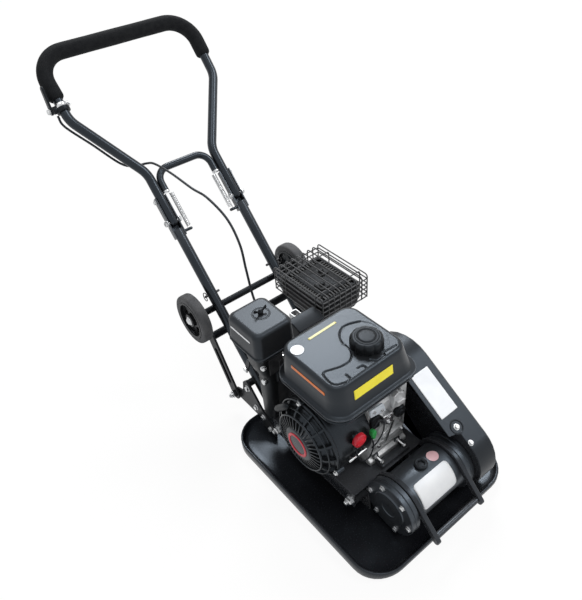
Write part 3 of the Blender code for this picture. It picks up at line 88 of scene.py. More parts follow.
level = np.cos(ELEVATION)
backward = np.array((np.sin(AZIMUTH) * level, -np.cos(AZIMUTH) * level, np.sin(ELEVATION)))
across = unit(np.cross(-backward, UP))
upward = np.cross(across, -backward)
stance = np.eye(4)
stance[:3, 0] = np.cos(ROLL) * across + np.sin(ROLL) * upward
stance[:3, 1] = np.cos(ROLL) * upward - np.sin(ROLL) * across
stance[:3, 2] = backward
stance[:3, 3] = EYE
lens = bpy.data.cameras.new("camera")
lens.lens = LENS_PIXELS * SENSOR / PICTURE_HEIGHT
lens.sensor_width = SENSOR
lens.clip_end = FAR_VIEW
camera = bpy.data.objects.new("camera", lens)
camera.matrix_world = Matrix(stance)
bpy.context.scene.collection.objects.link(camera)
bpy.context.scene.camera = camera
bpy.context.scene.view_settings.view_transform = "Standard"


def link(tree, *pairs):
    """Join an output to an input for each pair."""
    for source, target in pairs:
        tree.links.new(source, target)


def seen_directly(tree):
    """One for rays that the camera, a mirror or glass sends out, and nought for the rest."""
    path = tree.nodes.new("ShaderNodeLightPath").outputs
    total = path["Is Camera Ray"]
    for kind in ("Is Glossy Ray", "Is Transmission Ray"):
        step = tree.nodes.new("ShaderNodeMath")
        step.use_clamp = True
        link(tree, (total, step.inputs[0]), (path[kind], step.inputs[1]))
        total = step.outputs[0]
    return total


def lit_or_seen(tree, share, lit, seen, target):
    """Mix two shaders: a share of the second for rays that look straight at it, the first for the rest."""
    either = tree.nodes.new("ShaderNodeMixShader")
    link(tree, (share, either.inputs["Fac"]), (lit.outputs[0], either.inputs[1]),
         (seen.outputs[0], either.inputs[2]), (either.outputs[0], target.inputs["Surface"]))


room = bpy.data.worlds.new("white_room")
room.use_nodes = True
bpy.context.scene.world = room
walls = room.node_tree
lit_wall, seen_wall = walls.nodes["Background"], walls.nodes.new("ShaderNodeBackground")
for wall, strength in ((lit_wall, ROOM_LIGHT), (seen_wall, 1.0)):
    wall.inputs["Color"].default_value = (1.0, 1.0, 1.0, 1.0)
    wall.inputs["Strength"].default_value = strength
lit_or_seen(walls, seen_directly(walls), lit_wall, seen_wall, walls.nodes["World Output"])

for box_name, box_place, box_light, box_width in SOFT_BOXES:
    soft_box = bpy.data.objects.new(box_name, bpy.data.lights.new(box_name, "SUN"))
    soft_box.data.energy, soft_box.data.angle = box_light, np.radians(box_width)
    soft_box.rotation_euler = (-Vector(box_place)).to_track_quat("-Z", "Y").to_euler()
    bpy.context.scene.collection.objects.link(soft_box)


def noise(tree, scale, detail):
    """Cloudy values between nought and one, fixed in the piece's own space; scale is cells per metre."""
    place = tree.nodes.new("ShaderNodeTexCoord")
    cloud = tree.nodes.new("ShaderNodeTexNoise")
    cloud.inputs["Scale"].default_value = scale
    cloud.inputs["Detail"].default_value = detail
    link(tree, (place.outputs["Object"], cloud.inputs["Vector"]))
    return cloud.outputs[0]


def ramp(tree, value, low, high, first, last):
    """Colour that goes from the first to the last as a value goes from low to high."""
    strip = tree.nodes.new("ShaderNodeValToRGB")
    for stop, at, colour in zip(strip.color_ramp.elements, (low, high), (first, last)):
        stop.position = at
        stop.color = (*colour, 1.0)
    link(tree, (value, strip.inputs["Fac"]))
    return strip.outputs["Color"]


paper = bpy.data.materials.new("floor_paper")
paper.use_nodes = True
sheet = paper.node_tree
matt = sheet.nodes["Principled BSDF"]
matt.inputs["Roughness"].default_value = FLOOR_ROUGH
matt.inputs["Specular IOR Level"].default_value = FLOOR_SHINE
paper_shade = ramp(sheet, noise(sheet, PAPER_CLOUDS, PAPER_DETAIL), NOISE_LOW, NOISE_HIGH, *FLOOR_COLOURS)
glow, share = sheet.nodes.new("ShaderNodeEmission"), sheet.nodes.new("ShaderNodeMath")
share.operation = "MULTIPLY"
share.inputs[1].default_value = FLOOR_GLOW
link(sheet, (paper_shade, matt.inputs["Base Color"]), (seen_directly(sheet), share.inputs[0]))
lit_or_seen(sheet, share.outputs[0], matt, glow, sheet.nodes["Material Output"])
floor_mesh = bpy.data.meshes.new("floor")
floor_corners = FLOOR_REACH * np.array(((-1, -1, 0), (1, -1, 0), (1, 1, 0), (-1, 1, 0)))
floor_mesh.from_pydata(floor_corners.tolist(), [], [(0, 1, 2, 3)])
floor_mesh.materials.append(paper)
floor = bpy.data.objects.new("floor", floor_mesh)
bpy.context.scene.collection.objects.link(floor)

# Base plate: a pressed steel pan with a rolled rim and ramped ends, painted gloss black inside and out.
# Four plates are welded to its floor for the rubber mounts.
PLATE_WIDTH, PLATE_LENGTH, PLATE_CORNER = 0.450, 0.540, 0.075
RAMP_START, RAMP_LENGTH, RAMP_RISE, PAN_FLOOR, RIM_TOP = 0.210, 0.060, 0.012, 0.008, 0.028
PAN_CENTRE, LEAST_CORNER = 0.078, 0.006
LUG_SIDES, MOUNT_YS = ((-0.1007, -0.0950), (0.0370, 0.0427)), (-0.098, 0.166)
LUG_LOW, LUG_SHOULDER, LUG_TOP, LUG_EDGE = 0.006, 0.072, 0.078, 0.0008
LUG_FOOT, LUG_WAIST, LUG_HEAD = 0.022, 0.014, 0.009
# A cool blue specular tint for every non-metal finish: a painted blue cast in the reflections, standing in
# for the colour of the light.
COOL_SHEEN = (0.70, 0.84, 1.0, 1.0)
PATCH_DETAIL, PATCH_LOW, PATCH_HIGH, GRAIN_DETAIL = 6.0, 0.35, 0.65, 4.0
EDGE_LOW, EDGE_HIGH, RELIEF_DEPTH = 0.53, 0.62, 0.0006
# The pale steel edge colour is partly bare metal showing through and partly a painted highlight.
BLACK, BLACK_LIT, BARE_STEEL_AND_HIGHLIGHT = (0.0075, 0.0082, 0.0100), (0.0120, 0.0130, 0.0155), (0.085, 0.088, 0.095)
FLAT_ANGLE, BEVEL_STEPS = 38.0, 2


def surface(name, dark, light, patch, rough, grain, relief, metal=0.0, shine=0.5, wear_and_highlight=None):
    """A finish: the colour drifts between two shades over patches, a finer grain sets roughness and
    relief, and an edge colour, where given, shows along raised edges: wear, and on gloss black also a painted
    highlight."""
    made = bpy.data.materials.new(name)
    made.use_nodes = True
    tree = made.node_tree
    shader = tree.nodes["Principled BSDF"]
    shader.inputs["Metallic"].default_value = metal
    shader.inputs["Specular IOR Level"].default_value = shine
    # Non-metals reflect with the painted cool blue cast.
    if not metal:
        shader.inputs["Specular Tint"].default_value = COOL_SHEEN
    colour = ramp(tree, noise(tree, patch, PATCH_DETAIL), PATCH_LOW, PATCH_HIGH, dark, light)
    # Raised edges take the edge colour: edge wear, and on the gloss black paint also a painted highlight.
    if wear_and_highlight:
        raised = tree.nodes.new("ShaderNodeNewGeometry").outputs["Pointiness"]
        edge = ramp(tree, raised, EDGE_LOW, EDGE_HIGH, (0.0, 0.0, 0.0), (1.0, 1.0, 1.0))
        rubbed_and_lit = tree.nodes.new("ShaderNodeMix")
        rubbed_and_lit.data_type = "RGBA"
        link(tree, (edge, rubbed_and_lit.inputs["Factor"]), (colour, rubbed_and_lit.inputs["A"]))
        rubbed_and_lit.inputs["B"].default_value = (*wear_and_highlight, 1.0)
        colour = rubbed_and_lit.outputs["Result"]
    fine = noise(tree, grain, GRAIN_DETAIL)
    spread = tree.nodes.new("ShaderNodeMapRange")
    for socket, number in zip(("From Min", "From Max", "To Min", "To Max"), (NOISE_LOW, NOISE_HIGH, *rough)):
        spread.inputs[socket].default_value = number
    link(tree, (colour, shader.inputs["Base Color"]), (fine, spread.inputs["Value"]),
         (spread.outputs["Result"], shader.inputs["Roughness"]))
    if relief:
        bump = tree.nodes.new("ShaderNodeBump")
        bump.inputs["Strength"].default_value = relief
        bump.inputs["Distance"].default_value = RELIEF_DEPTH
        link(tree, (fine, bump.inputs["Height"]), (bump.outputs["Normal"], shader.inputs["Normal"]))
    return made


# Gloss black's pale steel edges are partly paint worn through and partly a painted highlight along the pan's
# rim and other edges.
gloss_black = surface("gloss_black_paint", BLACK, BLACK_LIT, 9.0, (0.25, 0.28), 260.0, 0.0, shine=0.26,
                      wear_and_highlight=BARE_STEEL_AND_HIGHLIGHT)


def rounded(width, length, corner, steps=9):
    """Outline of a rectangle with round corners: a quarter circle about each of four centres."""
    signs = np.array(((1, 1), (-1, 1), (-1, -1), (1, -1)), float)
    starts = np.arange(4)[:, None] * np.pi / 2
    angle = starts + np.linspace(0.0, np.pi / 2, steps + 1)
    centres = signs * (np.array((width, length)) / 2 - corner)
    return (centres[:, None] + corner * np.stack((np.cos(angle), np.sin(angle)), -1)).reshape(-1, 2)


def at_height(flat, height):
    """A flat outline raised to a height, or to one height for each of its points."""
    return np.column_stack((flat, np.broadcast_to(height, len(flat))))


def loft(rows, ring=False):
    """Skin a stack of closed loops: quads between neighbours, with flat ends or joined into a ring."""
    rows = np.asarray(rows, float)
    count, around = rows.shape[:2]
    low, at = np.meshgrid(np.arange(count if ring else count - 1), np.arange(around), indexing="ij")
    high, after = (low + 1) % count, (at + 1) % around
    corners = (low * around + at, low * around + after, high * around + after, high * around + at)
    faces = np.stack(corners, -1).reshape(-1, 4).tolist()
    if not ring:
        last = (count - 1) * around
        faces += [list(range(around - 1, -1, -1)), list(range(last, last + around))]
    return rows.reshape(-1, 3), faces


def show(mesh, finish, body, nodes=(), edge=0.0, sharp=FLAT_ANGLE):
    """Put a mesh into the scene: material, shading, rounded edges, the body it rides on, what it replaces."""
    mesh.shade_smooth()
    mesh.materials.append(finish)
    thing = bpy.data.objects.new(mesh.name, mesh)
    bpy.context.scene.collection.objects.link(thing)
    if edge:
        rounding = thing.modifiers.new("rounded_edges", "BEVEL")
        rounding.width, rounding.segments = edge, BEVEL_STEPS
        rounding.limit_method, rounding.angle_limit = "ANGLE", np.radians(sharp)
        weighted = thing.modifiers.new("flat_faces_flat", "WEIGHTED_NORMAL")
        weighted.weight = 100
    else:
        mesh.set_sharp_from_angle(angle=np.radians(sharp))
    if body:
        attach(thing, body)
    if nodes:
        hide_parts(*nodes)
    return thing


def piece(name, shapes, finish, body="machine", nodes=(), edge=0.0, sharp=FLAT_ANGLE):
    """Join skins into one mesh with its faces turned outwards, and show it."""
    points, faces, start = [], [], 0
    for corners, cells in shapes:
        points.append(corners)
        faces += [[start + i for i in cell] for cell in cells]
        start += len(corners)
    mesh = bpy.data.meshes.new(name)
    mesh.from_pydata(np.concatenate(points).tolist(), [], faces)
    shell = bmesh.new()
    shell.from_mesh(mesh)
    bmesh.ops.recalc_face_normals(shell, faces=shell.faces)
    shell.to_mesh(mesh)
    shell.free()
    return show(mesh, finish, body, nodes, edge, sharp)


def slab(outline, low, high, axis, edge):
    """A plate: an outline across an axis, drawn out along it, its rims pulled in by an edge width."""
    outline = np.asarray(outline, float)
    middle = outline.mean(0)
    shrink = 1.0 - edge / np.linalg.norm(outline - middle, axis=1).mean()
    rows = []
    for at, size in ((low, shrink), (low + edge, 1.0), (high - edge, 1.0), (high, shrink)):
        flat = middle + size * (outline - middle)
        rows.append(np.insert(flat, "XYZ".index(axis), at, axis=1))
    return loft(rows)


def pan_loop(inset, height, follows_sole):
    """One loop of the pan: the plate's outline drawn in, at a height that may follow the curved sole."""
    corner = max(PLATE_CORNER - inset, LEAST_CORNER)
    flat = rounded(PLATE_WIDTH - 2 * inset, PLATE_LENGTH - 2 * inset, corner)
    past = np.maximum(np.abs(flat[:, 1]) - RAMP_START, 0.0) / RAMP_LENGTH
    return at_height(flat, height + (RAMP_RISE * past ** 2 if follows_sole else 0.0))


pan_levels = [(PAN_CENTRE, 0.0, True), (0.05, 0.0, True), (0.030, 0.0, True), (0.012, 0.0, True),
              (0.003, 0.0004, True), (0.0006, 0.0022, True), (0.0, 0.005, True),
              (0.0, RIM_TOP - 0.0030, False), (0.0007, RIM_TOP - 0.0011, False),
              (0.0022, RIM_TOP - 0.0001, False), (0.0040, RIM_TOP, False),
              (0.0056, RIM_TOP - 0.0008, False), (0.0066, RIM_TOP - 0.0026, False),
              (0.0078, PAN_FLOOR + 0.0075, True), (0.0096, PAN_FLOOR + 0.0034, True),
              (0.0130, PAN_FLOOR + 0.0009, True), (0.0190, PAN_FLOOR, True), (0.032, PAN_FLOOR, True),
              (0.052, PAN_FLOOR, True), (PAN_CENTRE, PAN_FLOOR, True)]
pan_shapes = [loft([pan_loop(*step) for step in pan_levels])]
for lug_low, lug_high in LUG_SIDES:
    for mount_y in MOUNT_YS:
        lug = [(mount_y - LUG_FOOT, LUG_LOW), (mount_y + LUG_FOOT, LUG_LOW),
               (mount_y + LUG_WAIST, LUG_SHOULDER), (mount_y + LUG_HEAD, LUG_TOP),
               (mount_y - LUG_HEAD, LUG_TOP), (mount_y - LUG_WAIST, LUG_SHOULDER)]
        pan_shapes.append(slab(lug, lug_low, lug_high, "X", LUG_EDGE))
piece("base_pan", pan_shapes, gloss_black, nodes=("base_plate",))

# Exciter: a turned steel drum across the front, welded to a saddle, with a bolted cover at each end, a
# screwed filler plug and a bare white plate stuck to its front. Two flat bars hoop over it and hold a rod.
SIDES = ((-1, "left"), (1, "right"))
LEFT, RIGHT, FRONT = (-1, 0, 0), (1, 0, 0), (0, -1, 0)
DRUM_Y, DRUM_Z, DRUM_RADIUS, DRUM_HALF, DRUM_FACETS = -0.180, 0.086, 0.058, 0.090, 72
COVER_OUT, COVER_GAP, FLANGE_RADIUS, HUB_BOSS = 0.1023, 0.0003, 0.068, 0.0028
BOLT_CIRCLE, COVER_BOLT, COVER_BOLTS, FIRST_BOLT = 0.0575, 0.0055, 6, 8.0
SADDLE_HALF, PLUG_BACK = 0.072, 0.006
ASKEW = (0.31, 0.82, 0.47)
BOLT_FACETS, THREAD_ROWS = 24, 13
STICKER_LIFT, STICKER_DEPTH, STICKER_ANGLE = 0.0006, 0.0005, 60.0
STRAP_EDGE = 0.0016
ROD_PLACE, ROD_FACETS = (0.0, -0.284, 0.069), 32
drum_black = surface("drum_black_paint", (0.0120, 0.0128, 0.0145), (0.0185, 0.0195, 0.0215), 9.0,
                     (0.36, 0.42), 260.0, 0.0, shine=0.78)
bright_zinc = surface("bright_zinc", (0.47, 0.48, 0.49), (0.66, 0.67, 0.68), 60.0, (0.18, 0.36), 700.0, 0.08,
                      metal=1.0)
plain_white = surface("white_vinyl", (0.80, 0.81, 0.83), (0.86, 0.87, 0.88), 30.0, (0.30, 0.42), 500.0, 0.02,
                      shine=0.4)
pale_pink = surface("pink_vinyl", (0.72, 0.44, 0.47), (0.78, 0.52, 0.54), 30.0, (0.3, 0.42), 500.0, 0.02)
moulded_black = surface("moulded_black", (0.0075, 0.0078, 0.0085), (0.0125, 0.013, 0.014), 20.0, (0.34, 0.46),
                        900.0, 0.06, shine=0.18)


def turned(profile, centre, axis, count=48, ring=False):
    """Turn a profile of (radius, distance along the axis, share of a hexagon) about an axis through a centre;
    a hexagon's radius is its flat's divided by the cosine of the angle from the flat's middle."""
    profile = np.asarray(profile, float)
    radius, along = profile[:, 0], profile[:, 1]
    hexed = profile[:, 2] if profile.shape[1] > 2 else np.zeros(len(profile))
    axis = unit(axis)
    first = unit(np.cross(axis, ASKEW))
    second = np.cross(axis, first)
    angle = np.arange(count) * 2 * np.pi / count
    flat = np.cos(np.pi / 6) / np.cos(angle % (np.pi / 3) - np.pi / 6)
    reach = radius[:, None] * (1 + hexed[:, None] * (flat - 1))
    spokes = np.cos(angle)[:, None] * first + np.sin(angle)[:, None] * second
    rows = np.asarray(centre) + along[:, None, None] * axis + reach[..., None] * spokes
    return loft(rows, ring)


def handed(profile, side):
    """A profile of (radius, distance along X) on the left side (-1) or the right (1)."""
    return [(radius, side * along) for radius, along in profile]


def bolt(seat, axis, radius):
    """A hexagon-head bolt on a round washer: washer, flats, chamfered crown."""
    steps = ((1.30, 0.0, 0), (1.34, 0.05, 0), (1.34, 0.22, 0), (1.28, 0.27, 0), (1.06, 0.28, 1),
             (1.08, 0.32, 1), (1.08, 0.95, 1), (1.00, 1.05, 0.6), (0.80, 1.12, 0), (0.30, 1.13, 0))
    return turned([(radius * r, radius * h, x) for r, h, x in steps], seat, axis, BOLT_FACETS)


def bolts(seats, axis, radius):
    """Like bolts on a list of seats."""
    return [bolt(seat, axis, radius) for seat in seats]


def nut_on_stud(seat, axis, radius, reach):
    """A nut with its washer on a threaded stud; the thread is a run of small ridges."""
    steps = ((1.45, 0.0, 0), (1.45, 0.25, 0), (1.05, 0.26, 1), (1.08, 0.32, 1), (1.08, 1.10, 1),
             (0.90, 1.22, 0))
    rows = [(radius * r, radius * h, x) for r, h, x in steps]
    ridges = np.linspace(1.24 * radius, reach - 0.0006, THREAD_ROWS)
    rows += [(radius * (0.62 if k % 2 else 0.54), at, 0) for k, at in enumerate(ridges)]
    return turned(rows + [(0.42 * radius, reach, 0)], seat, axis, BOLT_FACETS)


drum_side = [(DRUM_RADIUS, 0.0735), (0.0587, 0.0762), (0.061, 0.0778), (0.0668, 0.0781),
             (FLANGE_RADIUS, 0.0795), (FLANGE_RADIUS, 0.0888), (0.0668, DRUM_HALF), (0.050, DRUM_HALF)]
drum = handed(reversed(drum_side), -1) + drum_side
saddle = [(-0.198, 0.0084), (-0.144, 0.0084), (-0.149, 0.036), (-0.193, 0.036)]
drum_axis = (0.0, DRUM_Y, DRUM_Z)
piece("exciter_drum", [turned(drum, drum_axis, RIGHT, DRUM_FACETS),
                       slab(saddle, -SADDLE_HALF, SADDLE_HALF, "X", 0.0012)],
      drum_black, nodes=("exciter_housing",))
bolt_angles = np.radians(np.arange(COVER_BOLTS) * 360.0 / COVER_BOLTS + FIRST_BOLT)
for side, hand in SIDES:
    boss = HUB_BOSS if hand == "left" else 0.0
    inner, outer = DRUM_HALF + COVER_GAP, COVER_OUT
    cover = [(0.050, inner), (0.0666, inner), (FLANGE_RADIUS, inner + 0.0014),
             (FLANGE_RADIUS, outer - 0.0016), (0.0664, outer), (0.0445, outer), (0.0430, outer + 0.2 * boss),
             (0.0415, outer + boss), (0.0200, outer + boss), (0.0190, outer + 0.6 * boss),
             (0.0175, outer + 0.4 * boss)]
    piece("exciter_end_" + hand, [turned(handed(cover, side), drum_axis, RIGHT, DRUM_FACETS)],
          drum_black, nodes=("exciter_cover_" + hand,))
    if hand == "left":
        seats = [(-outer, DRUM_Y + BOLT_CIRCLE * np.cos(t), DRUM_Z + BOLT_CIRCLE * np.sin(t))
                 for t in bolt_angles]
        piece("exciter_bolts_left", bolts(seats, LEFT, COVER_BOLT), bright_zinc)
plug_seat = (0.0, DRUM_Y + PLUG_BACK, DRUM_Z + DRUM_RADIUS)
plug = [(0.0150, -0.001, 0), (0.0155, 0.0012, 0), (0.0155, 0.0050, 0), (0.0142, 0.0066, 0),
        (0.0118, 0.0074, 0), (0.0094, 0.0070, 0), (0.0082, 0.0052, 1), (0.0080, 0.0022, 1),
        (0.0030, 0.0018, 0)]
piece("oil_filler_plug", [turned(plug, plug_seat, UP)], moulded_black,
      nodes=("filler_plug",))


def wrapped_sheet(name, finish, width, height, corner, locate, rows=15, columns=25):
    """A thin stuck-on sheet with round corners: a grid whose half width shrinks by a circle towards its ends,
    laid by a function from (across, up) to a place."""
    up = height / 2 * np.sin(np.linspace(-np.pi / 2, np.pi / 2, rows))
    past = np.maximum(np.abs(up) - (height / 2 - corner), 0.0)
    half = width / 2 - corner + np.sqrt(np.maximum(corner ** 2 - past ** 2, 0.0))
    over = half[:, None] * np.linspace(-1.0, 1.0, columns)
    grid = locate(over, np.broadcast_to(up[:, None], over.shape))
    low, at = np.meshgrid(np.arange(rows - 1), np.arange(columns - 1), indexing="ij")
    first = low * columns + at
    quads = np.stack((first, first + 1, first + columns + 1, first + columns), -1).reshape(-1, 4).tolist()
    mesh = bpy.data.meshes.new(name)
    mesh.from_pydata(grid.reshape(-1, 3).tolist(), [], quads)
    thing = show(mesh, finish, "machine", sharp=STICKER_ANGLE)
    depth = thing.modifiers.new("sheet_depth", "SOLIDIFY")
    depth.thickness, depth.offset = STICKER_DEPTH, 0.0


def on_drum(middle_x, middle_angle):
    """Lay a sheet round the drum: across goes along X, up goes round towards the rear."""
    def locate(over, up):
        angle = np.radians(middle_angle) - up / DRUM_RADIUS
        reach = DRUM_RADIUS + STICKER_LIFT
        return np.stack((middle_x + over, DRUM_Y + reach * np.cos(angle), DRUM_Z + reach * np.sin(angle)), -1)
    return locate


wrapped_sheet("blank_white_plate", plain_white, 0.106, 0.063, 0.009, on_drum(-0.002, 139.0))
wrapped_sheet("blank_round_sticker", pale_pink, 0.028, 0.028, 0.0139, on_drum(0.0365, 85.0))


def softened(node, finish, edge=0.0012, sharp=32.0):
    """A merged copy of a CAD node, its flat faces joined and its edges rounded, shown in the node's place."""
    shell = bmesh.new()
    shell.from_mesh(frame["nodes"][node].data)
    bmesh.ops.remove_doubles(shell, verts=shell.verts, dist=2e-6)
    bmesh.ops.dissolve_limit(shell, angle_limit=np.radians(1.5), verts=shell.verts, edges=shell.edges)
    mesh = bpy.data.meshes.new(node + "_look")
    shell.to_mesh(mesh)
    shell.free()
    return show(mesh, finish, frame["nodes"][node]["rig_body"], (node,), edge, sharp)


for side, hand in SIDES:
    softened("strap_" + hand, gloss_black, STRAP_EDGE)
rod = [(0.0058, -0.0655), (0.0070, -0.0645), (0.0070, 0.0645), (0.0058, 0.0655)]
piece("front_rod", [turned(rod, ROD_PLACE, RIGHT, ROD_FACETS)], gloss_black,
      nodes=("front_bar",))

# Engine deck: a folded steel channel that hangs on four bonded rubber mounts, each held through its skirt by
# a zinc nut on the mount's stud. A welded frame at its front holds two tensioner studs that point forward.
DECK_FACES, MOUNT_Z, DECK_EDGE = (-0.140, 0.082), 0.064, 0.0020
BUFFER_NEAR, BUFFER_FAR, BUFFER_FACETS = 0.0063, 0.039, 40
MOUNT_NUT, MOUNT_STUD = 0.0092, 0.018
FRAME_Y, FRAME_WIDTH, FRAME_DEPTH, FRAME_BAR, FRAME_CORNER = -0.0800, 0.090, 0.050, 0.010, 0.003
TENSIONER_XS, STUD_Y, STUD_Z = (-0.040, 0.031), -0.0770, 0.1110
STUD_LUG, STUD_SHEET, STUD_SIZE, STUD_REACH, STUD_HEAD = 0.016, 0.004, 0.0050, 0.0200, 0.0195
black_rubber = surface("mount_rubber", (0.010, 0.010, 0.011), (0.018, 0.018, 0.019), 40.0, (0.70, 0.88),
                       600.0, 0.2, shine=0.3)
softened("engine_deck", gloss_black, DECK_EDGE)
buffer_steps = ((0.0, 0.0130), (0.06, 0.0148), (0.18, 0.0150), (0.35, 0.0138), (0.5, 0.0134), (0.65, 0.0138),
                (0.82, 0.0150), (0.94, 0.0148), (1.0, 0.0130))
nuts = []
for (side, hand), face in zip(SIDES, DECK_FACES):
    for mount_y, end in zip(MOUNT_YS, ("front", "rear")):
        near, far = face - side * BUFFER_NEAR, face - side * BUFFER_FAR
        buffer = [(radius, near + part * (far - near)) for part, radius in buffer_steps]
        piece("rubber_buffer_%s_%s" % (hand, end),
              [turned(buffer, (0.0, mount_y, MOUNT_Z), RIGHT, BUFFER_FACETS)],
              black_rubber, nodes=("rubber_mount_%s_%s" % (hand, end),))
        nuts.append(nut_on_stud((face, mount_y, MOUNT_Z), (side, 0, 0), MOUNT_NUT, MOUNT_STUD))
piece("mount_nuts", nuts, bright_zinc)
frame_rows = []
for inset, height in ((0.0008, 0.0923), (0.0, 0.0931), (0.0, 0.1042), (0.0008, 0.1050), (FRAME_BAR, 0.1050),
                      (FRAME_BAR, 0.0923)):
    flat = rounded(FRAME_WIDTH - 2 * inset, FRAME_DEPTH - 2 * inset, FRAME_CORNER, 3)
    frame_rows.append(at_height(flat + np.array((0.0, FRAME_Y)), height))
piece("tensioner_frame", [loft(frame_rows, ring=True)], gloss_black)
lug_outline = rounded(STUD_LUG, STUD_LUG, FRAME_CORNER, 3)
stud_lugs = [slab(lug_outline + np.array((x, STUD_Z)), STUD_Y, STUD_Y + STUD_SHEET, "Y", 0.0006)
             for x in TENSIONER_XS]
piece("stud_lugs", stud_lugs, gloss_black)
long_bolts = [nut_on_stud((x, STUD_Y, STUD_Z), FRONT, STUD_SIZE, STUD_REACH) for x in TENSIONER_XS]
long_bolts += bolts([(x, STUD_Y - STUD_HEAD, STUD_Z) for x in TENSIONER_XS], FRONT, STUD_SIZE)
piece("tensioner_bolts", long_bolts, bright_zinc)

# Engine block: die-cast aluminium crankcase, finned barrel and a pressed rocker cover, with the governor's
# lever, a control plate and their screws on the front of the case.
CASE_FRONT, RIB_HALF = -0.070, 0.050
CASE_EDGE, FIN_EDGE, ROCKER_EDGE, CAST_EDGE = 0.0022, 0.0007, 0.0030, 0.0014
CONTROL_SCREW, CASE_BOLT, RAIL_BOLT, BLOCK_SCREW = 0.0034, 0.0046, 0.0044, 0.0040
PLATE_FACE, BLOCK_FACE, CASE_SEAT = CASE_FRONT - 0.0098, CASE_FRONT - 0.0148, CASE_FRONT - 0.001
RAIL_BOLT_Z, BLOCK_SCREW_X = 0.1515, -0.012
BOSS_FACETS, CAP_FACETS, IDLE_FACETS, CLIP_WIDTH = 40, 32, 20, 0.004
cast_alloy = surface("cast_alloy", (0.42, 0.43, 0.44), (0.60, 0.61, 0.62), 45.0, (0.42, 0.58), 420.0, 0.2,
                     metal=0.6)
pale_zinc = surface("pale_zinc_plate", (0.58, 0.64, 0.70), (0.70, 0.76, 0.82), 50.0, (0.25, 0.40), 500.0,
                    0.05, metal=0.2)
dark_iron = surface("dark_iron", (0.05, 0.05, 0.055), (0.10, 0.10, 0.105), 50.0, (0.45, 0.65), 500.0, 0.3,
                    metal=0.8)
softened("crankcase", cast_alloy, CASE_EDGE)
softened("cylinder", cast_alloy, FIN_EDGE)
softened("rocker_cover", moulded_black, ROCKER_EDGE)
inner_nodes = {bright_zinc: ("crankshaft", "exciter_shaft", "exciter_bearing_left", "exciter_bearing_right"),
               dark_iron: ("flywheel", "clutch_drum", "exciter_pulley")}
for finish, nodes in inner_nodes.items():
    for node in nodes:
        frame["nodes"][node].data.materials.clear()
        frame["nodes"][node].data.materials.append(finish)
case_ribs = []
for z in (0.122, 0.134):
    rib = [(CASE_FRONT + 0.002, z - 0.0016), (CASE_FRONT + 0.002, z + 0.0016),
           (CASE_FRONT - 0.0045, z + 0.001), (CASE_FRONT - 0.0045, z - 0.001)]
    case_ribs.append(slab(rib, -RIB_HALF, RIB_HALF, "X", 0.0006))
foot_rail = [(-0.044, 0.146), (-0.044, 0.155), (0.036, 0.162), (0.046, 0.158), (0.046, 0.148), (0.036, 0.144)]
cast_lug = [(0.004, 0.246), (0.006, 0.282), (0.020, 0.288), (0.040, 0.272), (0.046, 0.246), (0.026, 0.238)]
cast_fin = [(0.030, 0.270), (0.036, 0.297), (0.052, 0.297), (0.052, 0.262)]
cast_pad = [(0.012, 0.252), (0.012, 0.266), (0.034, 0.262), (0.034, 0.250)]
oil_boss = [(0.0190, -0.002), (0.0190, 0.006), (0.0175, 0.008), (0.0130, 0.008), (0.0120, 0.0065),
            (0.0030, 0.0065)]
case_ribs += [slab(foot_rail, CASE_FRONT - 0.010, CASE_FRONT + 0.002, "Y", CAST_EDGE),
              slab(cast_lug, CASE_FRONT - 0.011, CASE_FRONT + 0.004, "Y", 0.0016),
              slab(cast_fin, CASE_FRONT - 0.004, CASE_FRONT + 0.020, "Y", 0.0012),
              slab(cast_pad, CASE_FRONT - 0.017, CASE_FRONT - 0.009, "Y", CAST_EDGE),
              turned(oil_boss, (-0.016, CASE_FRONT, 0.190), FRONT, BOSS_FACETS)]
piece("case_ribs", case_ribs, cast_alloy)
control_plate = [(-0.0630, 0.269), (-0.0655, 0.291), (-0.0290, 0.289), (-0.0240, 0.282), (-0.0175, 0.258)]
control_block = [(-0.029, 0.222), (-0.029, 0.247), (-0.003, 0.242), (0.004, 0.236), (0.004, 0.212),
                 (-0.014, 0.212)]
governor_arm = [(-0.020, 0.150), (-0.013, 0.149), (0.010, 0.206), (0.007, 0.212), (0.001, 0.210)]
piece("control_plate", [slab(control_plate, CASE_FRONT - 0.0100, CASE_FRONT - 0.0058, "Y", 0.0005)],
      pale_zinc)
steel_bits = [slab(control_block, CASE_FRONT - 0.0150, CASE_FRONT + 0.002, "Y", CAST_EDGE),
              slab(governor_arm, CASE_FRONT - 0.0130, CASE_FRONT - 0.0105, "Y", 0.0004)]
case_bolts = ((0.038, 0.276), (0.040, 0.180), (-0.044, 0.168), (0.004, 0.206))
steel_bits += bolts([(x, PLATE_FACE, z) for x, z in ((-0.054, 0.281), (-0.030, 0.270))], FRONT, CONTROL_SCREW)
steel_bits += bolts([(x, CASE_SEAT, z) for x, z in case_bolts], FRONT, CASE_BOLT)
steel_bits += bolts([(x, PLATE_FACE, RAIL_BOLT_Z) for x in (-0.036, 0.038)], FRONT, RAIL_BOLT)
steel_bits += bolts([(BLOCK_SCREW_X, BLOCK_FACE, z) for z in (0.220, 0.238)], FRONT, BLOCK_SCREW)
piece("governor_steel", steel_bits, bright_zinc)
sensor_box = [(-0.058, 0.216), (-0.058, 0.250), (-0.052, 0.254), (-0.036, 0.254), (-0.033, 0.248),
              (-0.033, 0.216)]
oil_cap = [(0.0160, 0.0), (0.0160, 0.008), (0.0150, 0.0096), (0.0090, 0.0100), (0.0080, 0.0135),
           (0.0010, 0.0138)]
piece("oil_sensor_box", [slab(sensor_box, CASE_FRONT - 0.0085, CASE_FRONT + 0.001, "Y", CAST_EDGE),
                         turned(oil_cap, (0.032, CASE_SEAT, 0.214), FRONT, CAP_FACETS)],
      moulded_black)
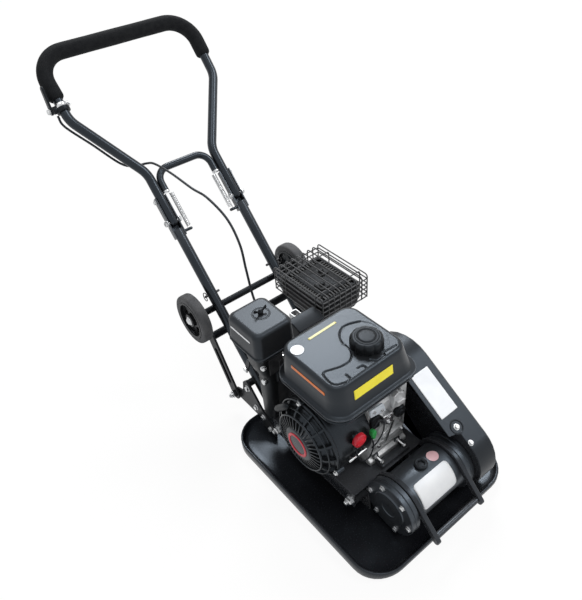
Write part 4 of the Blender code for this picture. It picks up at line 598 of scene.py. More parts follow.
idle_rod = [(0.0020, 0.0), (0.0031, 0.0015), (0.0031, 0.0505), (0.0020, 0.052)]
clip_outline = [(-0.0885, 0.1865), (-0.0885, 0.1935), (-0.0780, 0.1935), (-0.0780, 0.1865)]
rod_clips = [slab(clip_outline, x, x + CLIP_WIDTH, "X", 0.0008) for x in (-0.127, -0.096)]
piece("idle_rod", [turned(idle_rod, (-0.1350, -0.0885, 0.1905), (1.0, 0.0, 0.03), IDLE_FACETS)], bright_zinc)
piece("rod_clips", rod_clips, dark_iron)

# Fan housing and pull starter: injection-moulded black covers. The starter's dish has radial cooling fins, a
# ring of louvres round its shoulder, a plain red ring at its centre and a ribbed pull grip.
CRANK_Y, CRANK_Z, FAN_OUT, DISH_OUT = 0.015, 0.198, -0.160, -0.192
SWITCH_X, SWITCH_Z, SWITCH_FACE, SWITCH_FACETS = -0.103, 0.236, -0.0775, 28
DISH_FACETS, RING_FACETS, HOOP_FACETS = 80, 64, 12
FIN_COUNT, FIN_HALF, LOUVRE_COUNT, LOUVRE_HALF, LOUVRE_START = 34, 0.0017, 15, 0.0034, 0.1
FIN_STATIONS = ((0.0410, -0.185, -0.1900), (0.0440, -0.184, -0.1908), (0.0640, -0.179, -0.1870),
                (0.0690, -0.176, -0.1835))
LOUVRE_STATIONS = ((0.0690, -0.172, -0.1850), (0.0790, -0.163, -0.1800), (0.0890, -0.157, -0.1700),
                   (0.0945, -0.152, -0.1600))
DISH_HOOPS = ((0.0955, -0.1575, 0.0024, 0.0036), (0.0850, -0.1735, 0.0016, 0.0020),
              (0.0705, -0.1830, 0.0026, 0.0032))
RED_RING = (0.0275, DISH_OUT - 0.0008, 0.0035, 0.0016)
FOOT_TURNS, FOOT_CIRCLE, FOOT_FACETS = np.radians((-42.0, 78.0, 198.0)), 0.0985, 20
SCREW_X, STARTER_SCREW = -0.1638, 0.0046
GRIP_PULL, GRIP_CIRCLE, GRIP_STAND = unit((-0.55, 0.62, 0.56)), 0.0878, 0.0115
GRIP_RADIUS, PULL_HALF, GRIP_FACETS = 0.0085, 0.0365, 32
crank_line = np.array((0.0, CRANK_Y, CRANK_Z))
satin_black = surface("satin_black_cover", (0.0065, 0.0067, 0.0072), (0.0105, 0.0108, 0.0115), 14.0,
                      (0.26, 0.36), 320.0, 0.02, shine=0.40)
red_plastic = surface("red_plastic", (0.50, 0.010, 0.022), (0.62, 0.020, 0.034), 40.0, (0.26, 0.40), 500.0,
                      0.05)
fan_wall = [(0.0965, -0.0603), (0.0970, -0.0615), (0.0970, -0.1440), (0.0962, -0.1500), (0.0938, -0.1555),
            (0.0900, -0.1588), (0.0860, FAN_OUT), (0.0620, FAN_OUT), (0.0620, -0.1570), (0.0880, -0.1565),
            (0.0925, -0.1480), (0.0925, -0.0603)]
switch_boss = [(0.0084, -0.0080), (0.0084, -0.0010), (0.0078, 0.0), (0.0010, 0.0)]
piece("fan_cover", [turned(fan_wall, crank_line, RIGHT, DISH_FACETS, ring=True),
                    turned(switch_boss, (SWITCH_X, SWITCH_FACE + 0.0003, SWITCH_Z), FRONT, SWITCH_FACETS)],
      satin_black, nodes=("fan_housing",))
dish = [(0.0858, FAN_OUT - 0.0003), (0.0862, -0.1610), (0.0840, -0.1630), (0.0700, -0.1740),
        (0.0680, -0.1800), (0.0450, -0.1855), (0.0425, -0.1895), (0.0405, -0.1915), (0.0370, DISH_OUT),
        (0.0030, DISH_OUT - 0.0012)]
starter_shapes = [turned(dish, crank_line, RIGHT, DISH_FACETS)]


def spoke(angle, stations, half_width):
    """A radial bar: rectangles at stations of (radius, low x, high x), narrowed a little at the crest."""
    stations = np.asarray(stations, float)
    out = np.array((0.0, np.cos(angle), np.sin(angle)))
    side = np.array((0.0, -np.sin(angle), np.cos(angle)))
    corners = []
    for column, width in ((1, -1.0), (1, 1.0), (2, 0.7), (2, -0.7)):
        corners.append(crank_line + stations[:, :1] * out + width * half_width * side
                       + stations[:, column, None] * np.array((1.0, 0.0, 0.0)))
    return loft(np.stack(corners, 1))


def crank_hoop(radius, x, half_radius, half_x, facets):
    """A hoop about the crank's line: an ellipse about (radius, x) turned round it."""
    angle = np.linspace(0, 2 * np.pi, HOOP_FACETS + 1)[:-1]
    section = np.column_stack((radius + half_radius * np.cos(angle), x + half_x * np.sin(angle)))
    return turned(section, crank_line, RIGHT, facets, ring=True)


for turn in np.arange(FIN_COUNT) * 2 * np.pi / FIN_COUNT:
    starter_shapes.append(spoke(turn, FIN_STATIONS, FIN_HALF))
for turn in np.arange(LOUVRE_COUNT) * 2 * np.pi / LOUVRE_COUNT + LOUVRE_START:
    starter_shapes.append(spoke(turn, LOUVRE_STATIONS, LOUVRE_HALF))
starter_shapes += [crank_hoop(*hoop, DISH_FACETS) for hoop in DISH_HOOPS]
foot = [(0.0085, -0.145), (0.0085, -0.1625), (0.0070, -0.1640), (0.002, -0.1640)]
foot_places = [crank_line + FOOT_CIRCLE * np.array((0.0, np.cos(t), np.sin(t))) for t in FOOT_TURNS]
starter_shapes += [turned(foot, place, RIGHT, FOOT_FACETS) for place in foot_places]
piece("starter_dish", starter_shapes, satin_black, nodes=("recoil_starter",))
screw_seats = [place + np.array((SCREW_X, 0.0, 0.0)) for place in foot_places]
piece("starter_screws", bolts(screw_seats, LEFT, STARTER_SCREW), bright_zinc)
piece("red_centre_ring", [crank_hoop(*RED_RING, RING_FACETS)], red_plastic)
grip_along = unit(np.cross(GRIP_PULL, (1.0, 0.0, 0.0)))
grip_middle = np.array((DISH_OUT + GRIP_STAND, CRANK_Y, CRANK_Z))
grip_middle += GRIP_CIRCLE * np.sqrt(0.5) * np.array((0.0, 1.0, 1.0))
grip_steps = np.linspace(-1.0, 1.0, 41)
grip_ends = np.sqrt(np.maximum(1 - np.abs(grip_steps) ** 5, 0.01))
grip_ribs = 1 - 0.05 * np.cos(20 * grip_steps) ** 2
grip = np.column_stack((GRIP_RADIUS * grip_ends * grip_ribs, PULL_HALF * grip_steps))
piece("pull_grip", [turned(grip, grip_middle, grip_along, GRIP_FACETS)], moulded_black,
      body="pull_grip", nodes=("starter_grip",))

# Stop switch: a round red knob on the fan cover's front, with a grip bar across it, a green plug connector
# beside it and its lead clipped to the crankcase.
LEAD_RADIUS, LEAD_FACETS, LEAD_STEP, LEAD_LEAN = 0.0016, 10, 0.004, (0.2, 1.0, 0.1)
knob = [(0.0070, 0.0), (0.0070, 0.0035), (0.0165, 0.0042), (0.0170, 0.0055), (0.0168, 0.0125),
        (0.0158, 0.0142), (0.0120, 0.0150), (0.0020, 0.0152)]
knob_bar = rounded(0.024, 0.0062, 0.0030, 5) + np.array((SWITCH_X, SWITCH_Z))
piece("stop_knob", [turned(knob, (SWITCH_X, SWITCH_FACE, SWITCH_Z), FRONT),
                    slab(knob_bar, SWITCH_FACE - 0.0180, SWITCH_FACE - 0.0140, "Y", 0.0010)],
      red_plastic, body="stop_switch", nodes=("engine_switch",))
green_plastic = surface("green_plastic", (0.02, 0.26, 0.05), (0.04, 0.36, 0.08), 60.0, (0.3, 0.45), 600.0,
                        0.05)
plug_body = rounded(0.011, 0.016, 0.002, 3) + np.array((-0.066, 0.232))
plug_tail = rounded(0.007, 0.010, 0.002, 3) + np.array((-0.064, 0.218))
piece("green_connector", [slab(plug_body, CASE_FRONT - 0.026, CASE_FRONT - 0.014, "Y", 0.001),
                          slab(plug_tail, CASE_FRONT - 0.024, CASE_FRONT - 0.016, "Y", 0.001)],
      green_plastic)


def circle(radius, count=16):
    """Points of a circle about nought."""
    angle = np.arange(count) * 2 * np.pi / count
    return radius * np.column_stack((np.cos(angle), np.sin(angle)))


def curve_through(points, step):
    """A smooth line through points, read at about an even step: each run is a cubic, and its slope at a point
    is half the way from the point before to the point after."""
    points = np.asarray(points, float)
    points = np.vstack((2 * points[0] - points[1], points, 2 * points[-1] - points[-2]))
    runs = []
    for a, b, c, d in zip(points, points[1:], points[2:], points[3:]):
        t = np.arange(0.0, 1.0, 1.0 / max(1, round(np.linalg.norm(c - b) / step)))[:, None]
        bend, twist = 2 * a - 5 * b + 4 * c - d, 3 * b - a - 3 * c + d
        runs.append(0.5 * (2 * b + (c - a) * t + bend * t ** 2 + twist * t ** 3))
    return np.vstack(runs + [points[-2:-1]])


def carry(path, profile, lean):
    """Carry a flat profile along a path, square to it; its first axis stays as near as it can to one lean."""
    path, lean = np.asarray(path, float), np.asarray(lean, float)
    ahead = unit(np.gradient(path, axis=0))
    side = unit(lean - (ahead @ lean)[:, None] * ahead)
    over = np.cross(ahead, side)
    return path[:, None] + profile[:, 0, None] * side[:, None] + profile[:, 1, None] * over[:, None]


def tube(path, radius, count, lean):
    """A round bar along a path: a circle of so many points carried along it."""
    return loft(carry(path, circle(radius, count), lean))


switch_route = [(-0.106, -0.080, 0.227), (-0.1135, -0.090, 0.2035), (-0.107, -0.0945, 0.180),
                (-0.0925, -0.0945, 0.162), (-0.0755, -0.093, 0.162), (-0.0640, -0.091, 0.184),
                (-0.0665, -0.089, 0.212)]
case_route = [(-0.064, -0.088, 0.242), (-0.062, -0.094, 0.258), (-0.050, -0.092, 0.262),
              (-0.036, -0.092, 0.244), (-0.034, -0.090, 0.210), (-0.044, -0.084, 0.176),
              (-0.050, -0.074, 0.150)]
leads = [tube(curve_through(route, LEAD_STEP), LEAD_RADIUS, LEAD_FACETS, LEAD_LEAN)
         for route in (switch_route, case_route)]
piece("switch_lead", leads, black_rubber)

# Starter rope: a braided cord that winds on the starter's reel inside the dish. At rest only a short end
# shows behind the grip, and it runs straight to the grip while that is pulled.
ROPE_RADIUS, ROPE_HIDDEN, ROPE_POINTS, ROPE_FACETS = 0.0016, 0.022, 60, 12
ROPE_STRANDS, ROPE_TWISTS, ROPE_SWELL = 3, 9, 0.12
rope_grey = surface("rope_grey", (0.045, 0.045, 0.048), (0.085, 0.085, 0.090), 400.0, (0.65, 0.85), 1500.0,
                    0.3, shine=0.2)
rope_foot = grip_middle - ROPE_HIDDEN * GRIP_PULL
rope_part = np.linspace(0.0, 1.0, ROPE_POINTS)[:, None]
rope_line = rope_foot + rope_part * (grip_middle - rope_foot)
rope_angle = np.arange(ROPE_FACETS) * 2 * np.pi / ROPE_FACETS
rope_swell = np.cos(ROPE_STRANDS * rope_angle + 2 * np.pi * ROPE_TWISTS * rope_part)
rope_reach = ROPE_RADIUS * (1 + ROPE_SWELL * rope_swell)
rope_across = np.cross(GRIP_PULL, grip_along)
rope_spokes = np.cos(rope_angle)[:, None] * grip_along + np.sin(rope_angle)[:, None] * rope_across
rope_rows = rope_line[:, None] + rope_reach[..., None] * rope_spokes
rope = piece("starter_rope", [loft(rope_rows)], rope_grey, body=None, sharp=80.0)
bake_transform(rope)

# Fuel tank: two deep-drawn steel halves seamed at a rolled flange and painted satin black. The top is pressed
# with a stepped bead that winds round the filler's recess, and plain coloured strips are stuck to it.
TANK_BOTTOM, TANK_FLANGE, TANK_TOP = 0.302, 0.335, 0.415
FLANGE_BOX, TOP_BOX = np.array((-0.047, 0.010, 0.248, 0.214)), np.array((-0.056, 0.013, 0.206, 0.180))
RECESS_CENTRE, RECESS_RADIUS, RECESS_DEPTH, RECESS_BLUR = np.array((-0.010, 0.008)), 0.0435, 0.0012, 0.0014
BEAD_DEPTH, BEAD_WIDTH, BEAD_STEP, CROWN = 0.0024, 0.0015, 0.003, 0.0012
OUTLINE_POINTS, TOP_LOOPS, TOP_OUTER, TOP_INNER = 600, 108, 0.0098, 0.0885
TOP_CORNER, TOP_TAPER, TOP_LEAST = 0.0255, 0.30, 0.0006
SEAM_POINTS, SEAM_RADIUS, SEAM_FACETS = 200, 0.0010, 8
WALL_FOOT, WALL_HEAD = 15, 17
FRONT_STRIP_X, FRONT_STRIP_Z, SIDE_STRIP_Y, SIDE_STRIP_Z = -0.059, 0.3795, 0.005, 0.3900
STRIP_CORNER = 0.001
tank_black = surface("tank_black", (0.0070, 0.0074, 0.0082), (0.0115, 0.0120, 0.0130), 10.0, (0.32, 0.38),
                     380.0, 0.0, shine=0.36)


def tank_loop(height, rise, inset, corner, steps=13):
    """One level of the tank: its rounded outline goes from the flange's (rise 0) to the top's (rise 1)."""
    x, y, width, length = FLANGE_BOX + rise * (TOP_BOX - FLANGE_BOX)
    flat = rounded(width - 2 * inset, length - 2 * inset, corner, steps)
    return at_height(flat + np.array((x, y)), height)


def away_from(points, line):
    """Distance of points from a jointed line: the least over its runs, each clamped to its ends."""
    first, run = line[:-1], np.diff(line, axis=0)
    part = np.einsum("pij,ij->pi", points[:, None] - first, run) / (run ** 2).sum(1)
    nearest = first + np.clip(part, 0.0, 1.0)[..., None] * run
    return np.linalg.norm(points[:, None] - nearest, axis=2).min(1)


ring_bead = np.array(((0.020, 0.040), (-0.001, 0.049), (-0.021, 0.0515), (-0.0415, 0.0385), (-0.053, 0.018),
                      (-0.054, -0.001), (-0.060, -0.0185), (-0.075, -0.0305), (-0.084, -0.0325),
                      (-0.100, -0.0315), (-0.117, -0.0265), (-0.131, -0.021), (-0.1405, -0.0215),
                      (-0.1445, -0.033), (-0.1455, -0.051), (-0.138, -0.062), (-0.1165, -0.069),
                      (-0.110, -0.068), (-0.109, -0.0545)))
notch_bead = np.array(((-0.0795, -0.0565), (-0.0675, -0.058), (-0.066, -0.0695)))
front_bead = np.array(((-0.045, -0.0565), (-0.038, -0.068), (-0.014, -0.0685), (-0.0125, -0.0595),
                       (0.023, -0.0625)))
beads = [curve_through(at_height(ring_bead, 0.0), BEAD_STEP)[:, :2], notch_bead, front_bead]


def pressed(loop):
    """Sink a loop of the tank's top: a smooth valley along each bead, a shallow dish inside the recess, and a
    slight crown towards the middle."""
    flat = loop[:, :2]
    valley = sum(np.exp(-(away_from(flat, line) / BEAD_WIDTH) ** 2) for line in beads)
    centre = np.linalg.norm(flat - RECESS_CENTRE, axis=1)
    dish = 1.0 / (1.0 + np.exp((centre - RECESS_RADIUS) / RECESS_BLUR))
    middle = np.linalg.norm((flat - TOP_BOX[:2]) / (0.5 * TOP_BOX[2:]), axis=1)
    crown = CROWN * (1 - np.clip(middle, 0, 1) ** 2)
    return loop + (crown - BEAD_DEPTH * np.minimum(valley, 1.0) - RECESS_DEPTH * dish)[:, None] * UP


side_levels = [(TANK_BOTTOM, 0.0, 0.044, 0.020), (TANK_BOTTOM + 0.006, 0.0, 0.033, 0.024),
               (TANK_BOTTOM + 0.018, 0.0, 0.018, 0.030), (TANK_FLANGE - 0.0075, 0.0, 0.0095, 0.036),
               (TANK_FLANGE - 0.0070, 0.0, 0.0030, 0.040), (TANK_FLANGE - 0.0058, 0.0, 0.0006, 0.042),
               (TANK_FLANGE - 0.0040, 0.0, 0.0, 0.042), (TANK_FLANGE - 0.0020, 0.0, 0.0010, 0.042),
               (TANK_FLANGE - 0.0010, 0.0, 0.0048, 0.039), (TANK_FLANGE + 0.0008, 0.0, 0.0048, 0.039),
               (TANK_FLANGE + 0.0012, 0.0, 0.0010, 0.042), (TANK_FLANGE + 0.0032, 0.0, 0.0, 0.042),
               (TANK_FLANGE + 0.0050, 0.0, 0.0010, 0.042), (TANK_FLANGE + 0.0060, 0.0, 0.0034, 0.040),
               (TANK_FLANGE + 0.0063, 0.0, 0.0085, 0.037), (TANK_FLANGE + 0.0082, 0.02, 0.0100, 0.036),
               (TANK_TOP - 0.0400, 0.52, 0.0045, 0.034), (TANK_TOP - 0.0110, 0.97, 0.0003, 0.031),
               (TANK_TOP - 0.0065, 1.0, 0.0008, 0.030), (TANK_TOP - 0.0034, 1.0, 0.0022, 0.029),
               (TANK_TOP - 0.0013, 1.0, 0.0046, 0.0275), (TANK_TOP - 0.0002, 1.0, 0.0078, 0.026)]


def evenly(loop, count=OUTLINE_POINTS):
    """The same closed loop with points at equal distances along it."""
    ring = np.vstack((loop, loop[:1]))
    along = np.concatenate(((0.0,), np.cumsum(np.linalg.norm(np.diff(ring, axis=0), axis=1))))
    marks = np.linspace(0.0, along[-1], count + 1)[:-1]
    return np.column_stack([np.interp(marks, along, ring[:, k]) for k in range(3)])


def ring_tube(path, radius, count):
    """A round bar along a closed level path: a circle set out across the path and upwards."""
    out = unit(np.cross(np.roll(path, -1, 0) - np.roll(path, 1, 0), UP))
    section = circle(radius, count)
    return loft(path[:, None] + section[:, :1] * out[:, None] + section[:, 1:] * UP, ring=True)


tank_rows = [evenly(tank_loop(*step)) for step in side_levels]
for inset in np.linspace(TOP_OUTER, TOP_INNER, TOP_LOOPS):
    corner = max(TOP_CORNER - TOP_TAPER * inset, TOP_LEAST)
    tank_rows.append(pressed(evenly(tank_loop(TANK_TOP, 1.0, inset, corner))))
piece("tank_shell", [loft(tank_rows)], tank_black, nodes=("fuel_tank",), sharp=48.0)
# The thin bead along the flange is coloured a lighter grey than the tank: a painted highlight where the
# rolled seam's edges catch the light.
seam_highlight_grey = surface("seam_painted_highlight", (0.040, 0.043, 0.048), (0.070, 0.075, 0.082), 30.0, (0.30, 0.40), 500.0, 0.0,
                    shine=0.4)
seam_path = evenly(tank_loop(TANK_FLANGE + 0.0046, 0.0, 0.0006, 0.042), SEAM_POINTS)
piece("tank_seam", [ring_tube(seam_path, SEAM_RADIUS, SEAM_FACETS)], seam_highlight_grey, sharp=80.0)
signal_yellow = surface("yellow_vinyl", (0.90, 0.76, 0.012), (0.95, 0.81, 0.018), 40.0, (0.3, 0.42), 500.0,
                        0.02)
pale_yellow = surface("pale_yellow_vinyl", (0.62, 0.55, 0.16), (0.70, 0.63, 0.22), 40.0, (0.3, 0.42), 500.0,
                      0.02)
orange = surface("orange_vinyl", (0.70, 0.16, 0.015), (0.78, 0.20, 0.025), 40.0, (0.3, 0.42), 500.0, 0.02)


def on_wall(middle, over_way, up_way):
    """Lay a sheet on a flat wall: across and up go along two directions from its middle."""
    over_way, up_way = unit(over_way), unit(up_way)
    return lambda over, up: np.asarray(middle) + over[..., None] * over_way + up[..., None] * up_way


def tank_wall(axis, height):
    """Where the tank's front or left wall lies along an axis at a height, and how it leans as that rises."""
    foot, head = (tank_loop(*side_levels[k]) for k in (WALL_FOOT, WALL_HEAD))
    run = head[:, axis].min() - foot[:, axis].min()
    rise = head[0, 2] - foot[0, 2]
    return foot[:, axis].min() + run * (height - foot[0, 2]) / rise - STICKER_LIFT, run / rise


front_y, front_lean = tank_wall(1, FRONT_STRIP_Z)
wrapped_sheet("yellow_strip", signal_yellow, 0.108, 0.0235, STRIP_CORNER,
              on_wall((FRONT_STRIP_X, front_y, FRONT_STRIP_Z), RIGHT, (0, front_lean, 1)))
left_x, left_lean = tank_wall(0, SIDE_STRIP_Z)
wrapped_sheet("orange_strip", orange, 0.104, 0.0070, STRIP_CORNER,
              on_wall((left_x, SIDE_STRIP_Y, SIDE_STRIP_Z), FRONT, (left_lean, 0, 1)))
wrapped_sheet("pale_yellow_strip", pale_yellow, 0.078, 0.0060, STRIP_CORNER,
              on_wall((-0.060, 0.0725, TANK_TOP + 0.0011), (1, 0.02, 0), (0, 1, -0.012)))
wrapped_sheet("blank_white_disc", plain_white, 0.029, 0.029, 0.0144,
              on_wall((-0.1360, 0.0640, TANK_TOP + 0.0007), (1, 0, 0.004), (0, 1, -0.004)), rows=31)

# Fuel cap: a moulded black cap with ten thumb notches round its skirt, two fine rings and a dished top. It
# locks in the tank's filler neck and turns a quarter to come off.
CAP_X, CAP_Y, CAP_RADIUS, CAP_TOP, CAP_POINTS = -0.020, -0.020, 0.0360, 0.4400, 240
NOTCH_COUNT, NOTCH_WIDTH, NOTCH_DEPTH = 10, 0.16, 0.0028
cap_angle = np.arange(CAP_POINTS) * 2 * np.pi / CAP_POINTS
notch_part = (cap_angle * NOTCH_COUNT / (2 * np.pi) + 0.5) % 1.0 - 0.5
thumb_notch = np.exp(-(notch_part / NOTCH_WIDTH) ** 2)
cap_steps = [(0.0310, 0.4128, 0.0), (0.0340, 0.4135, 0.3), (CAP_RADIUS, 0.4160, 1.0),
             (CAP_RADIUS, 0.4310, 1.0), (0.0350, 0.4345, 0.9), (0.0330, 0.4368, 0.6), (0.0305, 0.4384, 0.2),
             (0.0280, 0.4392, 0.0), (0.0262, 0.4386, 0.0), (0.0250, 0.4393, 0.0), (0.0225, CAP_TOP, 0.0),
             (0.0205, CAP_TOP - 0.0012, 0.0), (0.0195, CAP_TOP - 0.0014, 0.0),
             (0.0185, CAP_TOP - 0.0004, 0.0), (0.0150, CAP_TOP, 0.0), (0.0030, CAP_TOP, 0.0)]
cap_rows = []
for radius, height, depth in cap_steps:
    reach = (radius - NOTCH_DEPTH * depth * thumb_notch)[:, None]
    cap_rows.append(at_height(np.array((CAP_X, CAP_Y)) + reach * circle(1.0, CAP_POINTS), height))
piece("filler_cap", [loft(cap_rows)], moulded_black, body="tank_cap", nodes=("fuel_cap",),
      sharp=50.0)

# Air filter: a moulded tray and lift-off cover with a shallow ring pressed in its top, held by a wing nut, on
# a moulded elbow whose foot stands on the deck. The carburettor beside it is die-cast, with a throttle arm on
# top and a choke lever in front. Below it a dark iron plate is partly a real plate and partly painted shade
# for the deep gap behind the engine.
FILTER_X, FILTER_Y, FILTER_WIDTH, FILTER_LENGTH = -0.132, 0.200, 0.108, 0.120
FILTER_BOTTOM, FILTER_SEAM, FILTER_TOP = 0.322, 0.352, 0.420
COVER_POINTS, COVER_LOOPS, COVER_OUTER, COVER_INNER = 300, 70, 0.0150, 0.0515
COVER_CORNER, COVER_TAPER, COVER_LEAST = 0.0145, 0.25, 0.0004
RING_RADIUS, RING_WIDTH, RING_DEPTH = 0.019, 0.0017, 0.0008
NUT_X, NUT_Y, WING_FACETS, WING_FULLNESS = FILTER_X + 0.007, FILTER_Y + 0.004, 24, 0.36
CARB_EDGE, ARM_EDGE, CHOKE_EDGE = 0.0016, 0.0006, 0.0008
SIDE_SCREW, TOP_SCREW, ELBOW_BOLT = 0.0034, 0.0032, 0.0056
ELBOW_CORNER = 0.018
filter_black = surface("filter_black", (0.0105, 0.0110, 0.0120), (0.0155, 0.0160, 0.0172), 18.0, (0.36, 0.42),
                       1000.0, 0.02, shine=0.34)


def filter_loop(height, inset, corner):
    """One level of the air filter's rounded box."""
    flat = rounded(FILTER_WIDTH - 2 * inset, FILTER_LENGTH - 2 * inset, corner, 12)
    return at_height(flat + np.array((FILTER_X, FILTER_Y)), height)


tray_levels = [(FILTER_BOTTOM, 0.021, 0.010), (FILTER_BOTTOM + 0.004, 0.016, 0.012),
               (FILTER_BOTTOM + 0.010, 0.012, 0.014), (FILTER_SEAM - 0.006, 0.0036, 0.016),
               (FILTER_SEAM - 0.0052, 0.0004, 0.017), (FILTER_SEAM - 0.0012, 0.0004, 0.017),
               (FILTER_SEAM - 0.0004, 0.0026, 0.016)]
piece("filter_tray", [loft([filter_loop(*step) for step in tray_levels])], filter_black,
      nodes=("air_filter_tray",))
cover_levels = [(FILTER_SEAM, 0.0010, 0.016), (FILTER_SEAM + 0.0004, -0.0018, 0.018),
                (FILTER_SEAM + 0.0022, -0.0018, 0.018), (FILTER_SEAM + 0.0028, -0.0010, 0.018),
                (FILTER_SEAM + 0.0032, 0.0004, 0.017), (FILTER_TOP - 0.0120, 0.0022, 0.017),
                (FILTER_TOP - 0.0080, 0.0028, 0.017), (FILTER_TOP - 0.0046, 0.0044, 0.0165),
                (FILTER_TOP - 0.0022, 0.0068, 0.0155), (FILTER_TOP - 0.0007, 0.0098, 0.0145),
                (FILTER_TOP - 0.0001, 0.0130, 0.0130)]
cover_rows = [evenly(filter_loop(*step), COVER_POINTS) for step in cover_levels]
for inset in np.linspace(COVER_OUTER, COVER_INNER, COVER_LOOPS):
    corner = max(COVER_CORNER - COVER_TAPER * inset, COVER_LEAST)
    loop = evenly(filter_loop(FILTER_TOP, inset, corner), COVER_POINTS)
    from_nut = np.linalg.norm(loop[:, :2] - np.array((NUT_X, NUT_Y)), axis=1)
    loop[:, 2] -= RING_DEPTH * np.exp(-((from_nut - RING_RADIUS) / RING_WIDTH) ** 2)
    cover_rows.append(loop)
piece("filter_cover", [loft(cover_rows)], filter_black, nodes=("air_filter_cover",),
      sharp=60.0)
wrapped_sheet("white_filter_strip", plain_white, 0.072, 0.0048, 0.0008,
              on_wall((FILTER_X - 0.0526, FILTER_Y + 0.004, 0.3940), FRONT, (0.036, 0, 1)))
nut_body = [(0.0062, 0.0), (0.0062, 0.0060), (0.0050, 0.0080), (0.0040, 0.0086), (0.0026, 0.0120),
            (0.0010, 0.0122)]
wings = [turned(nut_body, (NUT_X, NUT_Y, FILTER_TOP + 0.0003), UP, WING_FACETS)]
wing_stations = ((0.0020, 0.0055, 0.0034), (0.0060, 0.0070, 0.0028), (0.0110, 0.0105, 0.0020),
                 (0.0150, 0.0122, 0.0016), (0.0166, 0.0120, 0.0008))
wing_turn = np.linspace(0.0, 2 * np.pi, WING_FACETS + 1)[:-1]
for side, hand in SIDES:
    wing_rows = []
    for out, rise, thick in wing_stations:
        wing_rows.append(np.column_stack((np.full(WING_FACETS, NUT_X + side * out),
                                          NUT_Y + thick * np.cos(wing_turn),
                                          FILTER_TOP + rise + WING_FULLNESS * rise * np.sin(wing_turn))))
    wings.append(loft(wing_rows))
piece("filter_wing", wings, moulded_black, body="wing_nut", nodes=("filter_wing_nut",))
softened("carburettor", dark_iron, CARB_EDGE)
softened("carburettor_throttle", bright_zinc, ARM_EDGE)
softened("choke_lever", moulded_black, CHOKE_EDGE)
# A dark plate behind the carburettor: partly a plate there, partly a dark stand-in for the deep shade in the
# gap behind the engine.
plate_and_shade_outline = [(-0.126, 0.0925), (-0.060, 0.0925), (-0.060, 0.222), (-0.126, 0.222)]
piece("rear_plate_and_painted_shade", [slab(plate_and_shade_outline, 0.1775, 0.1895, "Y", 0.0010)], dark_iron)
drain_screw = [(0.003, 0.0), (0.0075, 0.001), (0.0075, 0.006), (0.0060, 0.0075), (0.001, 0.0076)]
tap_cap = [(0.0030, 0.0), (0.0078, 0.0010), (0.0078, 0.0090), (0.0066, 0.0108), (0.0010, 0.0112)]
lever_end = [(0.2400, 0.2290), (0.2400, 0.2390), (0.2530, 0.2390), (0.2530, 0.2290)]
carb_bits = bolts(((-0.100, 0.206, 0.256), (-0.100, 0.206, 0.280)), (0, 1, 0), SIDE_SCREW)
carb_bits += bolts(((-0.050, 0.176, 0.288), (-0.095, 0.176, 0.288)), UP, TOP_SCREW)
carb_bits += [turned(drain_screw, (-0.076, 0.188, 0.2215), (0, 0, -1), BOLT_FACETS),
              turned(tap_cap, (-0.1425, 0.188, 0.229), LEFT, BOLT_FACETS),
              bolt((-0.1541, 0.1757, 0.2890), (-0.5, -0.85, 0.0), ELBOW_BOLT),
              slab(lever_end, -0.1640, -0.1590, "X", 0.0008)]
piece("carburettor_screws", carb_bits, bright_zinc)
tap_body = rounded(0.060, 0.034, 0.008, 5) + np.array((0.199, 0.236))
tap_lever = [(0.2290, 0.2640), (0.2290, 0.2730), (0.2390, 0.2730), (0.2500, 0.2390), (0.2500, 0.2300),
             (0.2420, 0.2300)]
piece("fuel_tap", [slab(tap_body, -0.1225, -0.092, "X", 0.0020),
                   slab(tap_lever, -0.1590, -0.1545, "X", 0.0010)],
      moulded_black)
elbow_levels = ((0.324, 0.060, 0.068, -0.135, 0.206), (0.312, 0.060, 0.068, -0.135, 0.206),
                (0.296, 0.058, 0.066, -0.134, 0.206), (0.278, 0.056, 0.064, -0.133, 0.205),
                (0.260, 0.054, 0.058, -0.130, 0.202), (0.244, 0.042, 0.050, -0.127, 0.200),
                (0.230, 0.040, 0.048, -0.127, 0.200), (0.0950, 0.038, 0.046, -0.127, 0.200),
                (0.0922, 0.036, 0.044, -0.127, 0.200))
elbow_rows = []
for height, width, length, middle_x, middle_y in elbow_levels:
    flat = rounded(width, length, ELBOW_CORNER, 6)
    elbow_rows.append(at_height(flat + np.array((middle_x, middle_y)), height))
piece("filter_elbow", [loft(elbow_rows)], moulded_black, sharp=60.0)

# Muffler: a pressed steel box on the exhaust port under a slotted heat shield, painted heat-proof black,
# inside a cage of welded round wire.
SHIELD_X, SHIELD_Y, SHIELD_WIDTH, SHIELD_LENGTH = 0.117, 0.2865, 0.138, 0.166
SHIELD_TOP, SHIELD_LOW = 0.339, 0.292
TRENCH_IN, TRENCH_OUT, BAR_HALF, BAR_PITCH = 0.026, 0.012, 0.0023, 0.0090
BAR_ROWS = ((SHIELD_LENGTH / 2, 10, False), (SHIELD_WIDTH / 2, 13, True))
PAD_PLACES, PAD_SIZE, PAD_CORNER, PAD_BOLT = ((0.137, 0.306), (0.103, 0.262)), 0.032, 0.005, 0.0062
CAGE_LOW, CAGE_HIGH = np.array((0.0452, 0.194, 0.290)), np.array((0.197, 0.386, 0.364))
CAGE_WIRE, CAGE_FACETS, CAGE_BEND, CAGE_CORNER = 0.0017, 8, 0.008, 0.006
CAGE_HOOPS, CAGE_RINGS, CROSS_DROP, RING_DROP = 9, 5, 0.0028, 0.012
MUFFLER_EDGE = 0.0010
heat_black = surface("heat_black", (0.0080, 0.0080, 0.0085), (0.0140, 0.0138, 0.0140), 30.0, (0.36, 0.50),
                     300.0, 0.08, shine=0.09, wear_and_highlight=(0.05, 0.048, 0.046))
softened("muffler", heat_black, MUFFLER_EDGE)


